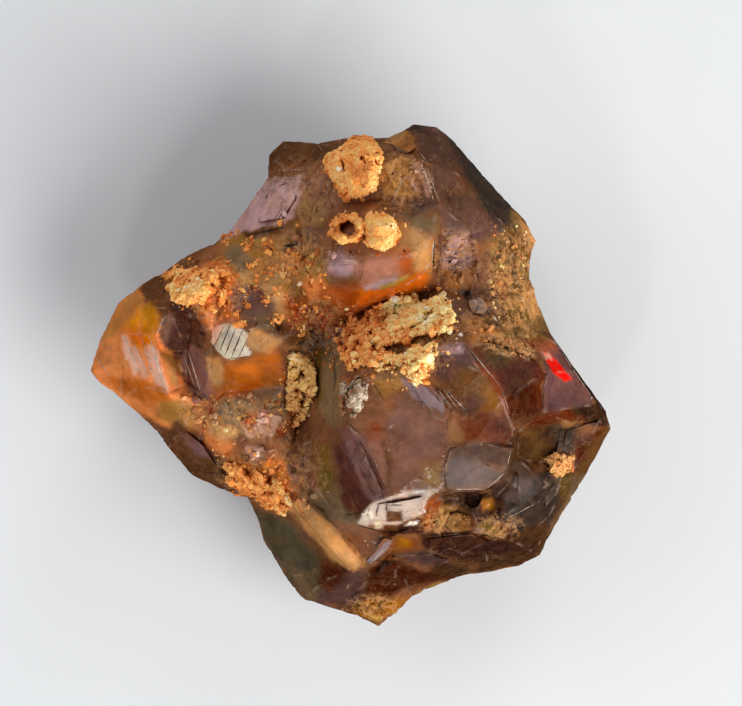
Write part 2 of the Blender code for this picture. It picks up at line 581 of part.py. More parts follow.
def plate(name, surface, corners, rises):
    """A flat-topped convex block whose foot is sunk in the body."""
    spots = [plan(across, down) for across, down in corners]
    tops = surface.fitted_plane(spots, rises)
    middle = sum(spots, Vector((0, 0))) / len(spots)
    points = []
    for spot, top in zip(spots, tops):
        points.append(Vector((spot.x, spot.y, top)))
        foot = middle + (spot - middle) * FOOT_SPREAD
        points.append(Vector((foot.x, foot.y, top - FOOT_DEPTH)))
    return hull_object(name, points)


def terrace(name, surface, outline, middle, steps, rise):
    """Flat growth steps, each smaller and higher than the one below."""
    middle = Vector(middle)
    made = []
    for step in range(steps):
        shrink = 1 - step * TERRACE_SHRINK
        corners = [middle + (Vector(corner) - middle) * shrink for corner in outline]
        rises = [TERRACE_FIRST + step * rise] * len(corners)
        made.append(plate(f"{name} {step}", surface, corners, rises))
    return made


def block_row(name, surface, first, last, count, width, rise, chance):
    """A row of small tilted blocks, such as the steps of a broken edge."""
    first, last = Vector(first), Vector(last)
    along = (last - first).normalized()
    made = []
    for step in range(count):
        middle = first.lerp(last, step / (count - 1))
        turn = chance.uniform(-BLOCK_TURN, BLOCK_TURN)
        size = width * chance.uniform(*BLOCK_SIZES)
        corners = []
        for corner in range(BLOCK_SIDES):
            angle = turn + corner * math.tau / BLOCK_SIDES
            side = Vector((math.cos(angle), math.sin(angle) * BLOCK_NARROWING)) * size / 2
            corners.append(middle + Matrix.Rotation(math.atan2(along.y, along.x), 2) @ side)
        rises = [rise * chance.uniform(*BLOCK_RISES) for _ in corners]
        made.append(plate(f"{name} {step}", surface, corners, rises))
    return made


def pit(name, surface, middle, width, depth, chance):
    """An uneven many-sided cutter sunk into the surface."""
    spot = plan(*middle)
    floor = surface.height(spot) - depth
    radius = width * MM_PER_PIXEL / 2
    points = []
    for step in range(PIT_SIDES):
        angle = (step + chance.uniform(-PIT_WOBBLE, PIT_WOBBLE)) * math.tau / PIT_SIDES
        out = Vector((math.cos(angle), math.sin(angle)))
        low = spot + out * radius * PIT_FLOOR_SHARE
        high = spot + out * radius * chance.uniform(*PIT_MOUTHS)
        points.append(Vector((low.x, low.y, floor + chance.uniform(0, depth) * PIT_UNEVENNESS)))
        points.append(Vector((high.x, high.y, floor + depth + CUTTER_RISE)))
    return hull_object(name, points)


def rod(name, surface, line):
    """A round ridge that follows the line, half sunk in the body."""
    middles = []
    for across, down, radius in line:
        spot = plan(across, down)
        middles.append((Vector((spot.x, spot.y, surface.height(spot) + radius * ROD_LIFT)), radius))
    points, faces = [], []
    for index, (middle, radius) in enumerate(middles):
        before = middles[max(index - 1, 0)][0]
        after = middles[min(index + 1, len(middles) - 1)][0]
        along = (after - before).normalized()
        side = along.cross(Vector((0, 0, 1))).normalized()
        up = side.cross(along)
        for step in range(ROD_SIDES):
            angle = step * math.tau / ROD_SIDES
            points.append(middle + (side * math.cos(angle) + up * math.sin(angle)) * radius)
    for ring in range(len(middles) - 1):
        for step in range(ROD_SIDES):
            a = ring * ROD_SIDES + step
            b = ring * ROD_SIDES + (step + 1) % ROD_SIDES
            faces.append((a, b, b + ROD_SIDES, a + ROD_SIDES))
    faces.append(tuple(reversed(range(ROD_SIDES))))
    faces.append(tuple(range(len(points) - ROD_SIDES, len(points))))
    obj = object_from(name, points, faces)
    solid = bmesh.new()
    solid.from_mesh(obj.data)
    bmesh.ops.recalc_face_normals(solid, faces=solid.faces)
    solid.to_mesh(obj.data)
    solid.free()
    return obj


def garnet_crystal(name, across, down, height, radius, turn):
    """A rhombic dodecahedron, the plain crystal form of garnet."""
    corners = list(itertools.product((-1, 1), repeat=3))
    for axis in range(3):
        for side in (-2, 2):
            corner = [0, 0, 0]
            corner[axis] = side
            corners.append(tuple(corner))
    tilt = Euler((math.radians(turn), math.radians(turn * 1.7), math.radians(turn * 3.1))).to_matrix()
    spot = plan(across, down)
    middle = Vector((spot.x, spot.y, height))
    return hull_object(name, [middle + tilt @ Vector(corner) * radius / 2 for corner in corners])


def combine(body, tools, operation):
    """Joins the tools to the body, or cuts them from it, and leaves one plain mesh."""
    for tool in tools:
        tool.hide_render = True
        tool.display_type = "WIRE"
        modifier = body.modifiers.new(tool.name, "BOOLEAN")
        modifier.operation = operation
        modifier.object = tool
    bpy.context.view_layer.update()
    evaluated = body.evaluated_get(bpy.context.evaluated_depsgraph_get())
    mesh = bpy.data.meshes.new_from_object(evaluated)
    body.modifiers.clear()
    body.data = mesh
    for tool in tools:
        bpy.data.objects.remove(tool)


def spread_inside(outline, spacing, chance):
    """Jittered points on a triangular grid inside the outline, clear of its edge."""
    left = min(corner.x for corner in outline)
    right = max(corner.x for corner in outline)
    low = min(corner.y for corner in outline)
    high = max(corner.y for corner in outline)
    found = []
    row_height = spacing * math.sqrt(3) / 2
    wobble = JITTER * spacing
    rows = int((high - low) / row_height) + 1
    columns = int((right - left) / spacing) + 1
    for row in range(rows):
        for column in range(columns):
            x = left + (column + row % 2 / 2) * spacing + chance.uniform(-wobble, wobble)
            y = low + row * row_height + chance.uniform(-wobble, wobble)
            spot = Vector((x, y))
            if inside(spot, outline) and edge_distance(spot, outline) > spacing * EDGE_CLEARANCE:
                found.append(spot)
    return found


def inside(spot, outline):
    crossings = 0
    for a, b in zip(outline, outline[1:] + outline[:1]):
        if (a.y > spot.y) != (b.y > spot.y):
            if a.x + (spot.y - a.y) / (b.y - a.y) * (b.x - a.x) > spot.x:
                crossings += 1
    return crossings % 2 == 1


def edge_distance(spot, outline):
    nearest = math.inf
    for a, b in zip(outline, outline[1:] + outline[:1]):
        share = (spot - a).dot(b - a) / (b - a).length_squared
        nearest = min(nearest, (a.lerp(b, min(max(share, 0), 1)) - spot).length)
    return nearest


def rough_outline(outline, spacing, chance):
    """The outline with extra corners set in and out a little, as a crumbling edge has."""
    found = []
    for a, b in zip(outline, outline[1:] + outline[:1]):
        count = max(1, round((b - a).length / spacing))
        across = Vector(((b - a).y, (a - b).x)).normalized()
        for step in range(count):
            spot = a.lerp(b, step / count)
            found.append(spot + across * chance.uniform(-EDGE_ROUGHNESS, EDGE_ROUGHNESS) * spacing)
    return found


def crust(name, surface, corners, thickness, grain, chance):
    """A lumpy slab that follows the body's surface with a small gap below it."""
    spacing = grain * MM_PER_PIXEL
    outline = rough_outline([plan(*corner) for corner in corners], spacing, chance)
    outline.reverse()
    spots = outline + spread_inside(outline, spacing, chance)
    ring = list(range(len(outline)))
    spots, _, triangles, _, _, _ = delaunay_2d_cdt(spots, [], [ring], 1, 1e-6)
    deepest = max(edge_distance(spot, outline) for spot in spots)
    lows, highs = [], []
    for spot in spots:
        low = surface.highest_near(spot, spacing / 2) + CRUST_GAP
        swell = math.sqrt(edge_distance(spot, outline) / deepest)
        rise = thickness * (CRUST_RIM + (1 - CRUST_RIM) * swell) * chance.uniform(*CRUST_LUMPS)
        lows.append(Vector((spot.x, spot.y, low)))
        highs.append(Vector((spot.x, spot.y, low + rise)))
    faces = [tuple(face) for face in triangles]
    if (spots[faces[0][1]] - spots[faces[0][0]]).cross(spots[faces[0][2]] - spots[faces[0][0]]) < 0:
        faces = [tuple(reversed(face)) for face in faces]
    count = len(spots)
    whole = [tuple(index + count for index in face) for face in faces]
    whole += [tuple(reversed(face)) for face in faces]
    directed = {(a, b) for face in faces for a, b in zip(face, face[1:] + face[:1])}
    for a, b in directed:
        if (b, a) not in directed:
            whole.append((a, b, b + count, a + count))
    return object_from(name, lows + highs, whole)


def ring_crust(name, surface, middle, radii, thickness, rise, chance):
    """A closed lumpy ring, oval in plan, that follows the surface with a small gap."""
    points, faces = [], []
    for step in range(RING_STEPS):
        angle = step * math.tau / RING_STEPS
        out = Vector((math.cos(angle) * radii[0], -math.sin(angle) * radii[1]))
        wide = thickness * chance.uniform(*RING_LUMPS)
        tall = rise * chance.uniform(*RING_LUMPS)
        for corner in range(RING_PROFILE):
            share = corner / (RING_PROFILE - 1)
            offset = (share * 2 - 1) * wide
            centre = Vector(middle) + out + out.normalized() * offset
            spot = plan(centre.x, centre.y)
            low = surface.highest_near(spot, RING_REACH) + CRUST_GAP
            points.append(Vector((spot.x, spot.y, low + tall * math.sqrt(math.sin(math.pi * share)))))
        centre = Vector(middle) + out
        spot = plan(centre.x, centre.y)
        low = surface.highest_near(spot, RING_REACH) + CRUST_GAP
        points.append(Vector((spot.x, spot.y, low)))
    size = RING_PROFILE + 1
    for step in range(RING_STEPS):
        here = step * size
        there = (step + 1) % RING_STEPS * size
        for corner in range(size):
            after = (corner + 1) % size
            faces.append((here + corner, here + after, there + after, there + corner))
    obj = object_from(name, points, faces)
    solid = bmesh.new()
    solid.from_mesh(obj.data)
    bmesh.ops.triangulate(solid, faces=solid.faces)
    bmesh.ops.recalc_face_normals(solid, faces=solid.faces)
    solid.to_mesh(obj.data)
    solid.free()
    return obj


def give_material(obj, colour, roughness):
    material = bpy.data.materials.new(obj.name)
    material.use_nodes = True
    shader = material.node_tree.nodes["Principled BSDF"]
    shader.inputs["Base Color"].default_value = (*colour, 1)
    shader.inputs["Roughness"].default_value = roughness
    shader.inputs["Metallic"].default_value = 0
    obj.data.materials.clear()
    obj.data.materials.append(material)


def clear_scene():
    for obj in list(bpy.data.objects):
        bpy.data.objects.remove(obj)


def main():
    clear_scene()
    chance = random.Random(SEED)
    body = crystal_body()
    surface = Surface(body)
    added = []
    for name, corners in PLATES.items():
        flat = [(across, down) for across, down, _ in corners]
        added.append(plate(name, surface, flat, [rise for _, _, rise in corners]))
    for name, (outline, middle, steps, rise) in TERRACES.items():
        added += terrace(name, surface, outline, middle, steps, rise)
    for name, (first, last, count, width, rise) in BLOCK_ROWS.items():
        added += block_row(name, surface, first, last, count, width, rise, chance)
    added.append(rod("amber rod", surface, AMBER_ROD))
    for name, crystal in FLANK_CRYSTALS.items():
        added.append(garnet_crystal(name, *crystal))
    combine(body, added, "UNION")
    cutters = []
    for name, (middle, width, depth) in PITS.items():
        cutters.append(pit(name, surface, middle, width, depth, chance))
    combine(body, cutters, "DIFFERENCE")
    surface = Surface(body)
    give_material(body, GARNET, CRYSTAL_ROUGHNESS)
    nodes = [body]
    for name, (corners, thickness, grain, colour) in CRUSTS.items():
        nodes.append(crust(name, surface, corners, thickness, grain, chance))
        give_material(nodes[-1], colour, CRUST_ROUGHNESS)
    nodes.append(ring_crust("ochre_ring", surface, RING_MIDDLE, RING_RADII, RING_THICKNESS, RING_RISE, chance))
    give_material(nodes[-1], OCHRE, CRUST_ROUGHNESS)
    for node in nodes:
        node.data.transform(Matrix.Scale(METRES_PER_MM, 4))


if __name__ == "__main__":
    main()
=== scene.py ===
"""Dresses the rainbow garnet cluster: faceted see-through garnet, granular ochre crusts, studio and camera."""

import math

import bmesh
import bpy
import numpy as np
from bpy.props import FloatProperty, FloatVectorProperty, PointerProperty
from mathutils import Euler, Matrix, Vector, noise
from mathutils.bvhtree import BVHTree


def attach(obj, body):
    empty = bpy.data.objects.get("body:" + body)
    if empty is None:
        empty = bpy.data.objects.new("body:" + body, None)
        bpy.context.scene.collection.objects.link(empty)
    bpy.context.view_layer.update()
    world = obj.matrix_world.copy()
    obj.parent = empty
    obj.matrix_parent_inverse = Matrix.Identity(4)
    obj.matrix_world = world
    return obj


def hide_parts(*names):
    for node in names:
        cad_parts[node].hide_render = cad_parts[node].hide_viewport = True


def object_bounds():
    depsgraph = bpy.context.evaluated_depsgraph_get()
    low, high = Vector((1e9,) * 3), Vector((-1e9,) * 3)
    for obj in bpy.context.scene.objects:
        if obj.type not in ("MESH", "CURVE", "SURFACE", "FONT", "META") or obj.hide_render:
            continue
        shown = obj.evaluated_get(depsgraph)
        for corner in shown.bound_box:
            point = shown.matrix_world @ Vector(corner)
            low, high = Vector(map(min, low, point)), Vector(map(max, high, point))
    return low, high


bl_info = {
    "name": "Rainbow garnet cluster",
    "version": (1, 0, 0),
    "blender": (4, 5, 0),
    "location": "View3D > Sidebar > Garnet",
    "description": "Builds the looks of a garnet crystal cluster with ochre crusts",
    "category": "Object",
}

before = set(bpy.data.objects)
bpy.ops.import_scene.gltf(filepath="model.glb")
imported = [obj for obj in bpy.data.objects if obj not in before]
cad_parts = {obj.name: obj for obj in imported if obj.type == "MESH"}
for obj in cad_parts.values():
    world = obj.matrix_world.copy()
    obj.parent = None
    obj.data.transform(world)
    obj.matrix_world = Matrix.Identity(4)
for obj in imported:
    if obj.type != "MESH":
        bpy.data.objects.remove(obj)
CAD_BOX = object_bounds()

# The photograph's frame, and where the cluster's outline ends in it, in its pixels.
PHOTO_WIDTH = 742
PHOTO_HEIGHT = 706
LEFT_EDGE = 90
RIGHT_EDGE = 611
TOP_EDGE = 125
BOTTOM_EDGE = 628

# Metres for each pixel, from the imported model's own width.
PIXEL = (CAD_BOX[1][0] - CAD_BOX[0][0]) / (RIGHT_EDGE - LEFT_EDGE)
MIDDLE_ACROSS = (LEFT_EDGE + RIGHT_EDGE) / 2
MIDDLE_DOWN = (TOP_EDGE + BOTTOM_EDGE) / 2
MM = 0.001
SEED = 11

# Height of the widest outline, which the camera and the lights aim at, and a height above the whole cluster.
GIRDLE_HEIGHT = 3 * MM
SKY = 0.05

# Most triangles of the refined garnet and of each crust's core, the height below which the garnet is refined
# coarsely, and how many times too long an edge is when each round of splitting takes it.
GARNET_TRIANGLES = 194000
CRUST_TRIANGLES = 24000
COARSE_BELOW = 1.6 * MM
SPLIT_ROUNDS = (16, 11, 8, 5.6, 4, 2.8, 2, 1.4, 1)

# Edges flatter than this are shaded smooth: on the crystals, and on worn ground.
CRYSTAL_EDGE = math.radians(13)
WORN_EDGE = math.radians(50)

# Zone borders that are softer than CRISP_BELOW pixels are softened more, and waver in waves that each have a
# size in metres, a reach in pixels and a seed.
CRISP_BELOW = 1.4
SOFTER_BORDERS = 1.2
BORDER_WAVES = ((0.5 * MM, 3.6, 3.0), (0.13 * MM, 2.2, 9.0), (0.06 * MM, 1.0, 15.0))

# The flank colours also hold below this height, over this fade, and where something stands over the surface.
FLANK_BELOW = GIRDLE_HEIGHT - 0.9 * MM
FLANK_FADE = 0.4 * MM
COVER_GAP = 0.02 * MM
RAY_LIFT = 0.05 * MM

# Painted shade in hollows is felt out by so many rays of this length.
SHADE_RAY_REACH = 1.1 * MM
SHADE_RAYS = 10

# Linear colours of the dust, veins, inclusions and worn edges of the garnet; the worn edge colour is also a painted
# highlight.
DUST = (0.72, 0.33, 0.10)
VEIN = (0.62, 0.36, 0.2)
INCLUSION = (0.04, 0.015, 0.008)
WORN_AND_HIGHLIGHT = (0.72, 0.46, 0.34)
BUMP_DEPTH = 0.02 * MM

# Smallest and largest grains of the crusts, loose grains and chips.
CRUST_GRAIN = (0.03 * MM, 0.26 * MM)
LOOSE_GRAIN = (0.02 * MM, 0.24 * MM)
CHIP = (0.05 * MM, 0.24 * MM)

# Studio lights: place, side and colour. Their powers are settings.
LIGHTS = {
    "key": ((0.105, -0.085, 0.085), 0.15, (1.0, 0.98, 0.95)),
    "fill": ((-0.12, 0.06, 0.07), 0.13, (0.92, 0.96, 1.0)),
    "back": ((0.05, 0.11, 0.06), 0.05, (1.0, 0.97, 0.92)),
    "glint": ((-0.03, -0.10, 0.10), 0.014, (1.0, 0.98, 0.96)),
}

# Tones of the sky from below to straight above.
SKY_TONES = [
    (0.0, (0.05, 0.045, 0.04)), (0.12, (0.8, 0.81, 0.83)), (0.6, (0.9, 0.91, 0.93)), (0.9, (0.12, 0.12, 0.13)),
]


def tone(red, green, blue):
    """A display colour, 0 to 255, as the linear light that a shader takes."""
    return tuple(
        ((value / 255 + 0.055) / 1.055) ** 2.4 if value > 10 else value / 3295 for value in (red, green, blue)
    )


def colour_property(name, description, default):
    return FloatVectorProperty(
        name=name, description=description, default=default, subtype="COLOR", size=3, min=0, max=1
    )


def power_property(name, description, default):
    return FloatProperty(name=name, description=description, default=default, unit="POWER")


class GARNET_PG_crystal(bpy.types.PropertyGroup):
    """Colours and finish of the garnet."""

    tip_orange: colour_property("Tip orange", "Glowing orange of the pointed tip", tone(212, 128, 78))
    tip_shadow: colour_property("Tip shadow", "Deeper orange brown of the tip", tone(184, 100, 46))
    yellow_amber: colour_property("Yellow amber", "Yellow amber glow", tone(208, 132, 42))
    vivid_orange: colour_property("Vivid orange", "Strongest orange glow", tone(216, 106, 14))
    salmon: colour_property("Salmon", "Salmon flakes", tone(212, 116, 80))
    # Pale pink bands, and also a painted highlight at the end of the red flash.
    pink_band_and_highlight: colour_property("Pink band", "Pale pink growth bands", tone(222, 166, 142))
    # Painted reflection: facets that mirror the light are painted near white.
    white_sheen: colour_property("White facet", "Facets that shine white", tone(255, 230, 202))
    # Painted sheen of the pale sparkling face.
    pale_sheen: colour_property("Pale facet", "The pale pink sparkling face", tone(234, 208, 190))
    tan: colour_property("Tan", "Tan faces", tone(202, 146, 94))
    tan_dark: colour_property("Dark tan", "Warm brown faces", tone(166, 108, 62))
    olive_tan: colour_property("Olive tan", "Olive tan glow", tone(152, 106, 56))
    olive: colour_property("Olive", "Dark olive depth", tone(98, 74, 32))
    olive_bright: colour_property("Bright olive", "Olive yellow glow", tone(172, 138, 64))
    olive_grey: colour_property("Olive grey", "Smooth greyish groove", tone(120, 96, 70))
    smoke: colour_property("Smoke", "Greyish see-through flank", tone(92, 82, 62))
    charcoal: colour_property("Charcoal", "Dark outer faces", tone(56, 46, 40))
    wine: colour_property("Wine", "Dark purple red faces", tone(78, 40, 34))
    purple_brown: colour_property("Purple brown", "Brown faces with purple in them", tone(98, 68, 56))
    # Mauve is dark red under a painted grey sheen.
    mauve: colour_property("Mauve", "Mauve faces", tone(124, 86, 80))
    # Painted sheen of the flat triangular face.
    mauve_pink_sheen: colour_property("Mauve pink", "The flat triangular face", tone(140, 94, 92))
    # Painted sheen of the glossy blade facets.
    grey_mauve_sheen: colour_property("Grey mauve", "Glossy blade facets", tone(152, 128, 130))
    # Painted grey reflection of the shell-shaped plate.
    grey_plate_sheen: colour_property("Grey plate", "The shell-shaped grey plate", tone(116, 98, 92))
    rose_brown: colour_property("Rose brown", "The large middle face", tone(150, 102, 86))
    brown: colour_property("Brown", "Plain brown faces", tone(128, 82, 56))
    red_brown: colour_property("Red brown", "Deep red brown faces", tone(116, 46, 22))
    rust: colour_property("Rust", "Rust coloured faces", tone(156, 70, 32))
    red_flash: colour_property("Red flash", "The bright inner reflection", tone(255, 40, 22))
    # Black brown is also painted shade in deep recesses.
    black_brown: colour_property("Black brown", "Deep recesses and bevels", tone(44, 22, 14))
    # Painted lilac sheen.
    lilac_sheen: colour_property("Lilac grey", "Soft lilac faces", tone(160, 126, 124))
    gold: colour_property("Gold", "The crumbling golden flank", tone(158, 118, 68))
    umber: colour_property("Umber", "Dark warm brown", tone(94, 58, 36))
    # Painted highlight on the thin step edges.
    growth_line: colour_property("Growth line", "Thin bright step edges", tone(244, 222, 208))
    brightness: FloatProperty(
        name="Brightness", description="Makes up for the light that enters the crystal", default=1.2,
        min=0.5, max=3
    )
    saturation: FloatProperty(
        name="Saturation", description="Strength of the colours", default=1.1, min=0, max=2
    )
    # Painted shade: how much hollows darken the red of the crystal.
    hollow_shade_depth: FloatProperty(
        name="Hollow depth", description="How much hollows darken the red of the crystal", default=0.85,
        min=0, max=2
    )
    see_through: FloatProperty(
        name="See-through", description="Share of light that enters the crystal", default=0.22, min=0, max=1,
        subtype="FACTOR"
    )
    gloss: FloatProperty(name="Gloss", description="Strength of the reflections", default=0.13, min=0, max=1)
    bending: FloatProperty(
        name="IOR", description="How strongly the crystal bends light", default=1.76, min=1, max=3
    )
    absorption_colour: colour_property("Absorption", "Tint of deep crystal", (0.97, 0.45, 0.16))
    absorption_density: FloatProperty(
        name="Absorption density", description="How fast the crystal darkens with depth, per metre",
        default=300, min=0
    )
    fine_edge: FloatProperty(
        name="Fine edge", description="Longest edge of the refined upper mesh", default=0.066 * MM, unit="LENGTH"
    )
    coarse_edge: FloatProperty(
        name="Coarse edge", description="Longest edge of the refined under mesh", default=0.17 * MM, unit="LENGTH"
    )


class GARNET_PG_crust(bpy.types.PropertyGroup):
    """Colours and grain of the ochre crusts."""

    # Deep ochre is also painted shade in the hollows between the grains.
    ochre_deep: colour_property("Deep ochre", "Hollows between the grains", tone(186, 94, 32))
    ochre: colour_property("Ochre", "Most grains", tone(248, 162, 80))
    ochre_pale: colour_property("Pale ochre", "Palest grains", tone(255, 212, 128))
    cream: colour_property("Cream", "Yellow-white grains", tone(255, 238, 162))
    grey: colour_property("Grey", "Grey-white grains", tone(226, 208, 186))
    grey_deep: colour_property("Deep grey", "Grey grains in shade", tone(150, 120, 88))
    # Painted glints on a few grains.
    white_grain: colour_property("White grains", "A few glassy white grains", tone(255, 246, 224))
    tan_crust: colour_property("Tan crust", "Tan lumps", tone(218, 162, 98))
    grain: FloatProperty(name="Grain", description="Middle size of a grain", default=0.105 * MM, unit="LENGTH")


class GARNET_PG_stage(bpy.types.PropertyGroup):
    """Floor, lights and camera."""

    floor: colour_property("Floor", "Pale floor", tone(226, 229, 232))
    camera_height: FloatProperty(
        name="Camera height", description="Camera above the widest outline", default=0.20, unit="LENGTH"
    )
    key_power: power_property("Key light", "Large soft light, in watts", 0.37)
    fill_power: power_property("Fill light", "Opposite light, in watts", 0.07)
    back_power: power_property("Back light", "Light from behind, in watts", 0.04)
    glint_power: power_property("Glint light", "Small light for glints", 0.02)
    sky_strength: FloatProperty(name="Sky", description="Strength of the even light", default=0.5, min=0)
    floor_width: FloatProperty(name="Floor width", description="Side of the floor", default=1.2, unit="LENGTH")
